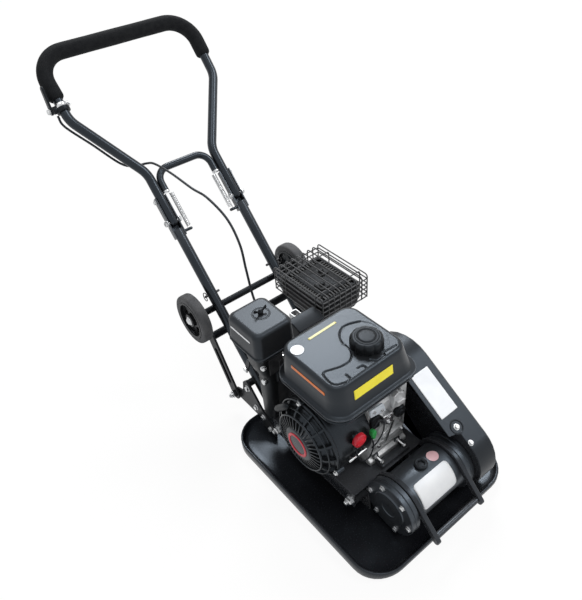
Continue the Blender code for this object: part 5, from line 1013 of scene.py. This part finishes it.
def shield_loop(height, inset, corner):
    """One level of the heat shield's rounded box, its height counted from the top."""
    flat = rounded(SHIELD_WIDTH - 2 * inset, SHIELD_LENGTH - 2 * inset, corner, 6)
    return at_height(flat + np.array((SHIELD_X, SHIELD_Y)), SHIELD_TOP + height)


shield_levels = [(SHIELD_LOW - SHIELD_TOP, 0.0018, 0.016), (SHIELD_LOW - SHIELD_TOP, 0.0, 0.017),
                 (-0.0200, 0.0002, 0.017), (-0.0188, 0.0016, 0.016), (-0.0176, 0.0004, 0.017),
                 (-0.0075, 0.0010, 0.017), (-0.0035, 0.0026, 0.016), (-0.0010, 0.0056, 0.014),
                 (0.0, 0.0095, 0.012), (0.0, TRENCH_OUT, 0.010), (-0.0050, TRENCH_OUT + 0.0006, 0.010),
                 (-0.0050, TRENCH_IN - 0.0006, 0.006), (-0.0004, TRENCH_IN, 0.006),
                 (0.0004, TRENCH_IN + 0.0020, 0.005), (0.0004, 0.060, 0.004)]
shield_shapes = [loft([shield_loop(*step) for step in shield_levels])]
for reach, count, turned_over in BAR_ROWS:
    for along in (np.arange(count) - (count - 1) / 2) * BAR_PITCH:
        for side, hand in SIDES:
            near, far = sorted((side * (reach - TRENCH_OUT - 0.0005), side * (reach - TRENCH_IN + 0.0010)))
            bar = np.array(((along - BAR_HALF, near), (along + BAR_HALF, near), (along + BAR_HALF, far),
                            (along - BAR_HALF, far)))
            flat = (bar[:, ::-1] if turned_over else bar) + np.array((SHIELD_X, SHIELD_Y))
            shield_shapes.append(slab(flat, SHIELD_TOP - 0.0056, SHIELD_TOP, "Z", 0.0005))
for pad_place in PAD_PLACES:
    pad = rounded(PAD_SIZE, PAD_SIZE, PAD_CORNER, 4) + np.array(pad_place)
    shield_shapes += [slab(pad, SHIELD_TOP - 0.001, SHIELD_TOP + 0.0042, "Z", 0.0018),
                      bolt((*pad_place, SHIELD_TOP + 0.0040), UP, PAD_BOLT)]
piece("slotted_shield", shield_shapes, heat_black, nodes=("heat_shield",))


def rounded_path(corners, radius, steps=6):
    """A path of straight runs whose corners are arcs: each arc sweeps between the two points where a circle
    of the radius touches the runs."""
    corners = np.asarray(corners, float)
    path = [corners[:1]]
    for before, corner, after in zip(corners, corners[1:], corners[2:]):
        back, ahead = unit(before - corner), unit(after - corner)
        half = np.arccos(np.clip(back @ ahead, -1.0, 1.0)) / 2
        middle = corner + unit(back + ahead) * radius / np.sin(half)
        first = corner + back * radius / np.tan(half) - middle
        last = corner + ahead * radius / np.tan(half) - middle
        sweep = np.arccos(np.clip(unit(first) @ unit(last), -1.0, 1.0))
        t = np.linspace(0.0, 1.0, steps + 1)[:, None]
        path.append(middle + (np.sin((1 - t) * sweep) * first + np.sin(t * sweep) * last) / np.sin(sweep))
    return np.vstack(path + [corners[-1:]])


(cage_x0, cage_y0, cage_z0), (cage_x1, cage_y1, cage_z1) = CAGE_LOW + CAGE_WIRE, CAGE_HIGH - CAGE_WIRE
cage_wires = []
for x in np.linspace(cage_x0, cage_x1, CAGE_HOOPS):
    hoop = [(x, cage_y0, cage_z0), (x, cage_y0, cage_z1), (x, cage_y1, cage_z1), (x, cage_y1, cage_z0)]
    cage_wires.append(tube(rounded_path(hoop, CAGE_BEND), CAGE_WIRE, CAGE_FACETS, (1.0, 0.0, 0.0)))
for y in (cage_y0 + 0.027, cage_y1 - 0.044):
    top = cage_z1 - CROSS_DROP
    hoop = [(cage_x0, y, cage_z0), (cage_x0, y, top), (cage_x1, y, top), (cage_x1, y, cage_z0)]
    cage_wires.append(tube(rounded_path(hoop, CAGE_BEND), CAGE_WIRE, CAGE_FACETS, (0.0, 1.0, 0.0)))
cage_outline = rounded(cage_x1 - cage_x0, cage_y1 - cage_y0, CAGE_CORNER, 5)
cage_outline += np.array((cage_x0 + cage_x1, cage_y0 + cage_y1)) / 2
for z in np.linspace(cage_z0 + CAGE_WIRE, cage_z1 - RING_DROP, CAGE_RINGS):
    cage_wires.append(ring_tube(at_height(cage_outline, z), CAGE_WIRE, CAGE_FACETS))
# The wire is coloured lighter than its dark grey steel: the extra lightness is a painted highlight, so that
# the wires read as light lines over the dark shield.
wire_with_painted_highlight = surface("wire_with_painted_highlight", (0.060, 0.062, 0.066), (0.090, 0.092, 0.098), 60.0, (0.28, 0.38), 400.0,
                     0.05, metal=0.3)
piece("wire_cage", cage_wires, wire_with_painted_highlight, nodes=("muffler_cage",))

# Spark plug: a moulded rubber cap pushed over the plug at the end of the barrel, inside a short cast collar
# that keeps the cooling air on the cylinder head.
PLUG_FOOT, PLUG_END, SPARK_FACETS = np.array((0.0, 0.216, 0.286)), np.array((0.002, 0.238, 0.310)), 28
COLLAR_WIDTH, COLLAR_LENGTH, COLLAR_CORNER, COLLAR_SHEET = 0.022, 0.044, 0.003, 0.0024
COLLAR_LOW, COLLAR_HIGH = 0.300, 0.318
spark_cap = [(0.0080, -0.004), (0.0105, 0.002), (0.0105, 0.020), (0.0088, 0.026), (0.0085, 0.032),
             (0.0020, 0.034)]
piece("spark_plug_cap", [turned(spark_cap, PLUG_FOOT, PLUG_END - PLUG_FOOT, SPARK_FACETS)], black_rubber)
collar_rows = []
for inset, height in ((0.0, COLLAR_LOW), (0.0, COLLAR_HIGH), (COLLAR_SHEET, COLLAR_HIGH),
                      (COLLAR_SHEET, COLLAR_LOW)):
    flat = rounded(COLLAR_WIDTH - 2 * inset, COLLAR_LENGTH - 2 * inset, COLLAR_CORNER, 3)
    collar_rows.append(at_height(flat + PLUG_END[:2], height))
piece("head_deflector", [loft(collar_rows, ring=True)], cast_alloy)

# Belt drive: a rubber V-belt from the centrifugal clutch to the exciter pulley, inside a pressed guard with
# a flat back plate. The guard's slope carries a bare white plate, and two screws hold it, one in a pocket.
BELT_X, BELT_HALF, BELT_DEPTH, BELT_FIT, BELT_TAPER = 0.126, 0.0065, 0.008, 0.0002, 0.6
PULLEYS = np.array(((0.015, 0.198, 0.050), (-0.180, 0.086, 0.036)))
GUARD_HEAD, GUARD_TOE, TOE_Z, GUARD_EDGE, BACK_EDGE = 0.099, 0.082, 0.097, 0.0022, 0.0006
POCKET_X, POCKET_ALONG, POCKET_FACETS, POCKET_SINK = 0.1045, 0.169, 40, -0.0012
POCKET_SCREW, TOE_SCREW, SIDE_SCREW_X, GUARD_SCREW = 0.0056, 0.0050, 0.1622, 0.0058


def belt_line(lift, steps=40):
    """The line of a belt round two pulleys: an arc on each, met by the common tangents."""
    (y1, z1, r1), (y2, z2, r2) = PULLEYS + np.array((0.0, 0.0, lift))
    heading, gap = np.arctan2(z2 - z1, y2 - y1), np.hypot(y2 - y1, z2 - z1)
    lean = np.arccos((r1 - r2) / gap)
    first = np.linspace(heading + lean, heading + 2 * np.pi - lean, steps)
    last = np.linspace(heading - lean, heading + lean, steps)
    return np.vstack((np.column_stack((y1 + r1 * np.cos(first), z1 + r1 * np.sin(first))),
                      np.column_stack((y2 + r2 * np.cos(last), z2 + r2 * np.sin(last)))))


belt_section = ((BELT_DEPTH, -BELT_HALF), (BELT_DEPTH, BELT_HALF), (BELT_FIT, BELT_TAPER * BELT_HALF),
                (BELT_FIT, -BELT_TAPER * BELT_HALF))
belt_rows = [np.insert(belt_line(lift), 0, BELT_X + offset, axis=1) for lift, offset in belt_section]
piece("v_belt", [loft(np.stack(belt_rows, 1), ring=True)], black_rubber,
      nodes=("drive_belt",))
guard_black = surface("guard_black", (0.0085, 0.0088, 0.0096), (0.0130, 0.0135, 0.0145), 12.0, (0.34, 0.42),
                      420.0, 0.0, shine=0.30)
softened("belt_guard", guard_black, GUARD_EDGE, sharp=24.0)
softened("guard_back_plate", gloss_black, BACK_EDGE)
toe_run = np.array((0.0, PULLEYS[1, 0] - PULLEYS[0, 0], TOE_Z - PULLEYS[0, 1]))
guard_lean = np.arcsin((GUARD_HEAD - GUARD_TOE) / np.linalg.norm(toe_run))
run_y, run_z = unit(toe_run)[1:]
slope_along = np.array((0.0, run_y * np.cos(guard_lean) - run_z * np.sin(guard_lean),
                        run_y * np.sin(guard_lean) + run_z * np.cos(guard_lean)))
slope_up = np.cross(slope_along, RIGHT)
slope_start = np.array((0.0, *PULLEYS[0, :2])) + GUARD_HEAD * slope_up


def on_slope(x, along, lift=0.0):
    """A point on the guard's sloping top: x across, then a distance down the slope, then out of it."""
    return np.array((x, 0.0, 0.0)) + slope_start + along * slope_along + lift * slope_up


wrapped_sheet("blank_guard_plate", plain_white, 0.053, 0.113, STRIP_CORNER,
              on_wall(on_slope(0.1105, 0.081, 0.0007), RIGHT, slope_along))
pocket = [(0.0165, -0.004), (0.0172, 0.0006), (0.0165, 0.0016), (0.0150, 0.0016), (0.0138, 0.0006),
          (0.0125, -0.0012), (0.0030, -0.0014)]
piece("guard_pocket", [turned(pocket, on_slope(POCKET_X, POCKET_ALONG), slope_up, POCKET_FACETS)],
      moulded_black)
piece("guard_screws", [bolt(on_slope(POCKET_X, POCKET_ALONG, POCKET_SINK), slope_up, POCKET_SCREW),
                       bolt(on_slope(0.109, 0.214), slope_up, TOE_SCREW)], bright_zinc)
side_seats = [(SIDE_SCREW_X, y, z)
              for y, z in ((0.072, 0.262), (-0.040, 0.226), (-0.060, 0.108), (0.062, 0.132), (-0.232, 0.094))]
piece("guard_side_screws", bolts(side_seats, RIGHT, GUARD_SCREW), bright_zinc)

# Rear brackets and wheels: flame-cut side plates carry the handle's feet and the wheel frame's pivots. The
# frame swings down so that the machine rolls on two solid grey tyres on moulded spoked rims.
AXLE_Y, AXLE_Z, PIVOT_Y, PIVOT_Z = 0.465, 0.2615, 0.352, 0.050
WHEEL_RADIUS, WHEEL_LOW, WHEEL_HIGH, RIM_RADIUS = 0.0685, 0.150, 0.180, 0.052
AXLE_FACETS, TYRE_FACETS, RIM_EDGE, WHEEL_FRAME_EDGE = 32, 96, 0.0010, 0.0010
BRACKET_FACE, BRACKET_BOLT, FOOT_BOLT = 0.1375, 0.0062, 0.0068
PIVOT_FACE, PIVOT_NUT, PIVOT_STUD = 0.1525, 0.0070, 0.0125
satin_paint = surface("satin_black_paint", (0.0060, 0.0062, 0.0070), (0.0110, 0.0114, 0.0125), 10.0,
                      (0.34, 0.44), 240.0, 0.0, shine=0.12, wear_and_highlight=(0.06, 0.062, 0.066))
grey_rubber = surface("grey_tyre_rubber", (0.060, 0.060, 0.062), (0.105, 0.104, 0.106), 26.0, (0.66, 0.84),
                      500.0, 0.25, shine=0.3)
rear_screws = []
for side, hand in SIDES:
    outward, face = (side, 0, 0), side * BRACKET_FACE
    softened("rear_bracket_" + hand, satin_paint)
    rear_screws += bolts([(face, y, z) for y, z in ((0.206, 0.026), (0.232, 0.050), (0.262, 0.064))], outward,
                         BRACKET_BOLT)
    rear_screws += [nut_on_stud((side * PIVOT_FACE, PIVOT_Y, PIVOT_Z), outward, PIVOT_NUT, PIVOT_STUD),
                    bolt((face, 0.2925, 0.1125), outward, FOOT_BOLT)]
piece("rear_bracket_screws", rear_screws, bright_zinc)
softened("wheel_frame", satin_paint, WHEEL_FRAME_EDGE)
hub = (0.0, AXLE_Y, AXLE_Z)
axle = [(0.0070, -0.184), (0.0088, -0.182), (0.0090, -0.180), (0.0090, 0.180), (0.0088, 0.182),
        (0.0070, 0.184)]
piece("axle_bar", [turned(axle, hub, RIGHT, AXLE_FACETS)], satin_paint, body="wheel_carrier",
      nodes=("axle",))
tyre = [(RIM_RADIUS + 0.0004, WHEEL_LOW + 0.0010), (0.0600, WHEEL_LOW), (0.0640, WHEEL_LOW + 0.0006),
        (0.0668, WHEEL_LOW + 0.0024), (0.0681, WHEEL_LOW + 0.0052), (WHEEL_RADIUS, WHEEL_LOW + 0.0090),
        (WHEEL_RADIUS, WHEEL_HIGH - 0.0090), (0.0681, WHEEL_HIGH - 0.0052), (0.0668, WHEEL_HIGH - 0.0024),
        (0.0640, WHEEL_HIGH - 0.0006), (0.0600, WHEEL_HIGH), (RIM_RADIUS + 0.0004, WHEEL_HIGH - 0.0010)]
axle_cap = [(0.0120, 0.1790), (0.0120, 0.1812), (0.0108, 0.1822), (0.0095, 0.1822), (0.0090, 0.1838),
            (0.0074, 0.1856), (0.0010, 0.1862)]
washer = [(0.0092, 0.1466), (0.0165, 0.1466), (0.0165, 0.1480), (0.0092, 0.1480)]
for side, hand in SIDES:
    piece("solid_tyre_" + hand, [turned(handed(tyre, side), hub, RIGHT, TYRE_FACETS, ring=True)], grey_rubber,
          body="wheel_" + hand, nodes=("tyre_" + hand,), sharp=50.0)
    softened("wheel_rim_" + hand, moulded_black, RIM_EDGE)
    piece("axle_cap_" + hand, [turned(handed(axle_cap, side), hub, RIGHT, AXLE_FACETS)], bright_zinc,
          body="wheel_carrier")
    piece("axle_washer_" + hand, [turned(handed(washer, side), hub, RIGHT, AXLE_FACETS, ring=True)],
          bright_zinc, body="wheel_carrier")

# Lower handle: two welded steel tubes with a cross tube, satin black, and a folded channel at the top of
# each in which the upper handle turns on a bolt. A peg on each channel anchors a latch spring.
HANDLE_ANGLE, HANDLE_Y, HANDLE_Z, HANDLE_HALF = np.radians(47.8), 0.596, 0.447, 0.100
LOWER_TUBE, UPPER_TUBE, LOWER_LENGTH, FOLD_S, TUBE_FACETS = 0.0135, 0.0125, 0.452, 0.022, 36
CHANNEL_LOW, CHANNEL_TOP, CHANNEL_SHEET, CHANNEL_BEND = -0.022, 0.094, 0.003, 0.0052
CHANNEL_HALF, CHANNEL_LIP, CHANNEL_EDGE = 0.0146, 0.0060, 0.0008
PEG_OUT, PEG_IN, PEG_RADIUS, PEG_FACETS, ANCHOR_S = 0.0855, 0.0640, 0.0040, 20, -0.012
CROSS_RADIUS, CROSS_FACETS, CROSS_RISE = 0.011, 32, 0.050
FOOT_S, FOOT_SLEEVE, FOOT_OVERLAP = -0.520, 0.0142, 0.012
FOLD_FACE, FOLD_BOLT, FOLD_STUD, SHANK_RADIUS, SHANK_HALF = 0.0164, 0.0066, 0.0095, 0.0048, 0.0160
RIVET_OUT, RIVET_DOWN, RIVET_BACK, RIVET_SIZE = 0.0160, 0.009, 0.004, 0.0052
PIN_S, PIN_FACETS, CLIP_OUT, CLIP_RADIUS, CLIP_PITCH = -0.190, 16, 0.0190, 0.011, 0.004
CLIP_WIRE, CLIP_FACETS, CLIP_POINTS, CLIP_START = 0.0012, 8, 22, 0.3
ALONG_X = np.array((1.0, 0.0, 0.0))
tube_black = surface("tube_black_paint", (0.0062, 0.0066, 0.0078), (0.0110, 0.0116, 0.0132), 10.0,
                     (0.22, 0.28), 240.0, 0.0, shine=0.42, wear_and_highlight=(0.06, 0.062, 0.066))


def handle(x, s, n=0.0):
    """A point in the handle's plane: x across, s up along the tubes, n out of the plane to the front."""
    x, s, n = np.broadcast_arrays(np.asarray(x, float), s, n)
    return np.stack((x, HANDLE_Y + s * np.cos(HANDLE_ANGLE) - n * np.sin(HANDLE_ANGLE),
                     HANDLE_Z + s * np.sin(HANDLE_ANGLE) + n * np.cos(HANDLE_ANGLE)), -1)


handle_out = handle(0.0, 0.0, 1.0) - handle(0.0, 0.0)
handle_up = handle(0.0, 1.0) - handle(0.0, 0.0)


def domed(rows, path):
    """Close a tube's two ends with domes: the end loop shrinks by a cosine as it moves out by a sine."""
    rows = list(rows)
    for end, inner in ((0, 1), (-1, -2)):
        centre, loop = path[end], rows[end]
        out = unit(centre - path[inner])
        radius = np.linalg.norm(loop[0] - centre)
        domes = [centre + (loop - centre) * np.cos(t) + out * radius * np.sin(t)
                 for t in (0.4, 0.8, 1.15, 1.45)]
        rows = domes[::-1] + rows if end == 0 else rows + domes
    return rows


channel_corners = np.array(((-CHANNEL_HALF, CHANNEL_LIP, 0.0), (-CHANNEL_HALF, -CHANNEL_HALF, 0.0),
                            (CHANNEL_HALF, -CHANNEL_HALF, 0.0), (CHANNEL_HALF, CHANNEL_LIP, 0.0)))
bent = rounded_path(channel_corners, CHANNEL_BEND, 5)[:, :2]
bent_normal = unit(np.gradient(bent, axis=0))[:, ::-1] * np.array((1.0, -1.0)) * CHANNEL_SHEET / 2
section = np.vstack((bent + bent_normal, (bent - bent_normal)[::-1]))
channel_steps = (CHANNEL_LOW, CHANNEL_LOW + CHANNEL_EDGE, CHANNEL_TOP - CHANNEL_EDGE, CHANNEL_TOP)
lower_shapes, feet = [], []
for side, hand in SIDES:
    middle_x = side * HANDLE_HALF
    leg = handle(middle_x, np.linspace(-LOWER_LENGTH, -0.002, 6))
    lower_shapes.append(tube(leg, LOWER_TUBE, TUBE_FACETS, ALONG_X))
    lower_shapes.append(loft([handle(middle_x + section[:, 0], s, section[:, 1]) for s in channel_steps]))
    peg = handle(side * np.linspace(PEG_OUT, PEG_IN, 4), ANCHOR_S)
    lower_shapes.append(loft(domed(carry(peg, circle(PEG_RADIUS, PEG_FACETS), handle_up), peg)))
    foot_path = handle(middle_x, np.linspace(FOOT_S, FOOT_OVERLAP - LOWER_LENGTH, 5))
    feet.append(tube(foot_path, FOOT_SLEEVE, TUBE_FACETS, ALONG_X))
foot_cross = handle(np.linspace(-HANDLE_HALF, HANDLE_HALF, 6), CROSS_RISE - LOWER_LENGTH)
lower_shapes.append(tube(foot_cross, CROSS_RADIUS, CROSS_FACETS, handle_up))
piece("lower_handle_tubes", lower_shapes, tube_black, nodes=("lower_handle",), sharp=50.0)
piece("handle_feet", feet, tube_black, sharp=50.0)
shank = [(SHANK_RADIUS, -SHANK_HALF), (SHANK_RADIUS, SHANK_HALF)]
for side, hand in SIDES:
    outward, bolt_middle = side * ALONG_X, handle(side * HANDLE_HALF, FOLD_S)
    piece("fold_pin_" + hand, [bolt(bolt_middle - FOLD_FACE * outward, -outward, FOLD_BOLT),
                               nut_on_stud(bolt_middle + FOLD_FACE * outward, outward, FOLD_BOLT, FOLD_STUD),
                               turned(shank, bolt_middle, outward, BOLT_FACETS)],
          bright_zinc, nodes=("fold_bolt_" + hand,))
channel_rivets, clip_pins = [], []
pin = [(0.002, -0.0225), (0.0032, -0.0215), (0.0032, 0.0215), (0.002, 0.0225)]
clip_turn = np.linspace(CLIP_START, 2 * np.pi, CLIP_POINTS)[:, None]
clip_loop = CLIP_RADIUS * (np.cos(clip_turn) * handle_out + np.sin(clip_turn) * handle_up)
clip_rise = CLIP_OUT + CLIP_PITCH * np.linspace(0, 1, CLIP_POINTS)[:, None]
for side, hand in SIDES:
    outward, pin_middle = side * ALONG_X, handle(side * HANDLE_HALF, PIN_S)
    rivet_seat = handle(side * (HANDLE_HALF + RIVET_OUT), CHANNEL_TOP - RIVET_DOWN, -RIVET_BACK)
    channel_rivets.append(bolt(rivet_seat, outward, RIVET_SIZE))
    clip_pins.append(turned(pin, pin_middle, RIGHT, PIN_FACETS))
    clip_pins.append(tube(pin_middle + clip_rise * outward + clip_loop, CLIP_WIRE, CLIP_FACETS, ALONG_X))
piece("channel_rivets", channel_rivets, bright_zinc)
piece("transport_pins", clip_pins, dark_iron)

# Upper handle: one bent steel tube, satin black, with a thick foam sleeve pushed over its top bend. It folds
# forward about the two bolts.
BEND_S, FLARE_S, FLARE_HALF, TOP_S, GRIP_HALF, TUBE_BEND = 0.162, 0.352, 0.214, 0.526, 0.219, 0.070
FOAM_START, FOAM_RADIUS, FOAM_FACETS, FOAM_STEP = 0.410, 0.0200, 40, 0.004
FOAM_PINCH, FOAM_END, FOAM_WAVE, FOAM_WAVELENGTH = 0.26, 0.0035, 0.006, 0.021
corner_marks = np.array(((HANDLE_HALF, FOLD_S), (HANDLE_HALF, BEND_S), (FLARE_HALF, FLARE_S),
                         (GRIP_HALF, TOP_S)))
handle_corners = np.vstack((handle(-corner_marks[:, 0], corner_marks[:, 1]),
                            handle(corner_marks[::-1, 0], corner_marks[::-1, 1])))
tube_path = rounded_path(handle_corners, TUBE_BEND, 12)
tube_rows = domed(carry(tube_path, circle(UPPER_TUBE, TUBE_FACETS), handle_out), tube_path)
piece("upper_handle_tube", [loft(tube_rows)], tube_black, body="handle",
      nodes=("upper_handle",), sharp=60.0)
foam_black = surface("foam_black", (0.0110, 0.0112, 0.0120), (0.0160, 0.0162, 0.0170), 90.0, (0.70, 0.86),
                     1500.0, 0.2, shine=0.10)
foam_x = GRIP_HALF - (GRIP_HALF - FLARE_HALF) * (TOP_S - FOAM_START) / (TOP_S - FLARE_S)
foam_line = rounded_path([handle(-foam_x, FOAM_START), handle(-GRIP_HALF, TOP_S), handle(GRIP_HALF, TOP_S),
                          handle(foam_x, FOAM_START)], TUBE_BEND, 14)


def evened(path, step):
    """The same open path with points at an even step, and their distances along it."""
    along = np.concatenate(((0.0,), np.cumsum(np.linalg.norm(np.diff(path, axis=0), axis=1))))
    marks = np.linspace(0.0, along[-1], max(2, int(along[-1] / step)))
    return np.column_stack([np.interp(marks, along, path[:, k]) for k in range(3)]), marks


foam_path, foam_marks = evened(foam_line, FOAM_STEP)
end_distance = np.minimum(foam_marks, foam_marks[-1] - foam_marks)
fullness = 1.0 - FOAM_PINCH * np.exp(-(end_distance / FOAM_END) ** 2)
fullness += FOAM_WAVE * np.sin(foam_marks / FOAM_WAVELENGTH)
foam_spokes = carry(foam_path, circle(FOAM_RADIUS, FOAM_FACETS), handle_out) - foam_path[:, None]
foam_rows = foam_path[:, None] + fullness[:, None, None] * foam_spokes
foam = piece("foam_sleeve", [loft(foam_rows)], foam_black, body="handle", nodes=("foam_grip",),
             sharp=60.0)

# Latch: a bent rod hoop that slides up out of the channels against two long close-wound tension springs, one
# hooked to each channel's peg.
HOOP_HALF, HOOP_TUBE, HOOP_LOW, HOOP_TOP, HOOP_BEND, LATCH_FACETS = 0.0775, 0.0095, 0.098, 0.160, 0.035, 32
SPRING_RADIUS, SPRING_WIRE, SPRING_COILS, SPRING_IN = 0.0052, 0.0011, 36, 0.011
COIL_POINTS, COIL_FACETS, HOOK_LENGTH = 14, 7, 0.004
FERRULE_DOWN, FERRULE_FACETS = 0.0012, 28
hoop_path = rounded_path([handle(-HOOP_HALF, HOOP_LOW), handle(-HOOP_HALF, HOOP_TOP),
                          handle(HOOP_HALF, HOOP_TOP), handle(HOOP_HALF, HOOP_LOW)], HOOP_BEND, 12)
piece("latch_bar", [tube(hoop_path, HOOP_TUBE, LATCH_FACETS, handle_out)], tube_black,
      body="latch", nodes=("latch_hoop",), sharp=60.0)
spring_low, spring_high = ANCHOR_S + 0.0043, HOOP_LOW - 0.0003
turn = np.linspace(0.0, 2 * np.pi * SPRING_COILS, SPRING_COILS * COIL_POINTS + 1)
climb = spring_low + HOOK_LENGTH + (spring_high - spring_low - 2 * HOOK_LENGTH) * turn / turn[-1]
ferrule = [(0.0062, 0.0), (0.0098, 0.0006), (0.0102, 0.0030), (0.0098, 0.0056), (0.0062, 0.0062)]
for side, hand in SIDES:
    coil_x = side * (HOOP_HALF - SPRING_IN)
    coil = handle(coil_x + side * SPRING_RADIUS * np.cos(turn), climb, SPRING_RADIUS * np.sin(turn))
    ends = handle(coil_x + side * SPRING_RADIUS, np.array((spring_low, spring_high)))
    wire_path = np.vstack((ends[:1], coil, ends[1:]))
    wire = tube(wire_path, SPRING_WIRE, COIL_FACETS, handle_up + 0.001 * handle_out)
    spring = piece("tension_spring_" + hand, [wire], bright_zinc, body=None,
                   nodes=("latch_spring_" + hand,), sharp=80.0)
    handle(coil_x, spring_low)
    handle(coil_x, spring_high)
    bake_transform(spring)
    ferrule_seat = handle(side * HOOP_HALF, HOOP_LOW - FERRULE_DOWN)
    piece("latch_ferrule_" + hand, [turned(ferrule, ferrule_seat, handle_up, FERRULE_FACETS)], bright_zinc,
          body="latch")

# Throttle control: a zinc band and a moulded pod on the left tube with a thumb lever, and a sheathed cable
# that hangs under the tube, passes behind it and arches freely down to the carburettor.
LEVER_S, LEVER_X, CLAMP_HALF, LEVER_EDGE = 0.388, -0.2405, 0.011, 0.0016
POD_FACETS, POD_BOSS_FACETS, POD_GAP = 36, 32, 0.0012
EAR_UP, EAR_OUT, EAR_HALF, EAR_SCREW, LEVER_HEAD, LEVER_BOLT = 0.0056, 0.0195, 0.0074, 0.0044, 0.0062, 0.0060
CABLE_RADIUS, CABLE_FACETS, CABLE_STEP, CABLE_LEAN, CABLE_FREE = 0.003, 14, 0.006, (1.0, 0.12, 0.05), -8
lever_share = (LEVER_S - FLARE_S) / (TOP_S - FLARE_S)
clamp_x = -FLARE_HALF - (GRIP_HALF - FLARE_HALF) * lever_share
tube_way = unit(handle(-GRIP_HALF, TOP_S) - handle(-FLARE_HALF, FLARE_S))
clamp_middle = handle(clamp_x, LEVER_S)
pod = [(0.0128, -0.0110), (0.0170, -0.0108), (0.0176, -0.0098), (0.0176, -0.0010), (0.0168, 0.0),
       (0.0128, 0.0)]
pod_boss = [(0.0020, 0.0), (0.0092, 0.0), (0.0096, 0.0010), (0.0096, 0.0085), (0.0090, 0.0095),
            (0.0020, 0.0097)]
pod_seat = handle(clamp_x - UPPER_TUBE - POD_GAP, LEVER_S)
piece("throttle_pod", [turned(pod, clamp_middle, tube_way, POD_FACETS, ring=True),
                       turned(pod_boss, pod_seat, LEFT, POD_BOSS_FACETS)],
      moulded_black, body="handle", nodes=("throttle_clamp",))
band = [(0.0127, 0.0008), (0.0162, 0.0008), (0.0166, 0.0014), (0.0166, 0.0098), (0.0162, 0.0104),
        (0.0127, 0.0104)]
ear = [(0.0030, -0.008), (0.0048, -EAR_HALF), (0.0048, EAR_HALF), (0.0030, 0.008)]
ear_middle = clamp_middle + EAR_UP * tube_way + EAR_OUT * ALONG_X
piece("throttle_band", [turned(band, clamp_middle, tube_way, POD_FACETS, ring=True),
                        turned(ear, ear_middle, handle_out, BOLT_FACETS),
                        bolt(ear_middle + EAR_HALF * handle_out, handle_out, EAR_SCREW),
                        bolt(handle(LEVER_X - LEVER_HEAD, LEVER_S), LEFT, LEVER_BOLT)],
      bright_zinc, body="handle")
softened("throttle_lever", moulded_black, LEVER_EDGE)
handle_knots = [(-0.2335, LEVER_S - CLAMP_HALF - 0.0037, -0.003), (-0.226, 0.350, -0.020),
                (-0.186, 0.286, -0.021), (-0.142, 0.216, -0.023), (-0.112, 0.197, -0.020),
                (-0.086, 0.188, -0.005), (-0.079, 0.172, 0.024), (-0.075, 0.122, 0.080)]
free_knots = [(-0.070, 0.529, 0.581), (-0.065, 0.470, 0.577), (-0.060, 0.401, 0.547), (-0.060, 0.360, 0.495),
              (-0.062, 0.344, 0.430), (-0.066, 0.320, 0.358), (-0.072, 0.270, 0.303),
              (-0.0765, 0.230, 0.2943)]
cable_route = np.vstack([handle(*knot) for knot in handle_knots] + [free_knots])
cable_path = curve_through(cable_route, CABLE_STEP)
cable_sheath = surface("cable_sheath", (0.0090, 0.0090, 0.0095), (0.0150, 0.0150, 0.0155), 80.0, (0.42, 0.58),
                       900.0, 0.15, shine=0.4)
cable = piece("throttle_cable_sheath", [tube(cable_path, CABLE_RADIUS, CABLE_FACETS, CABLE_LEAN)],
              cable_sheath, body=None, nodes=("throttle_cable",), sharp=80.0)
handle(-0.079, 0.170, 0.026)
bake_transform(cable)
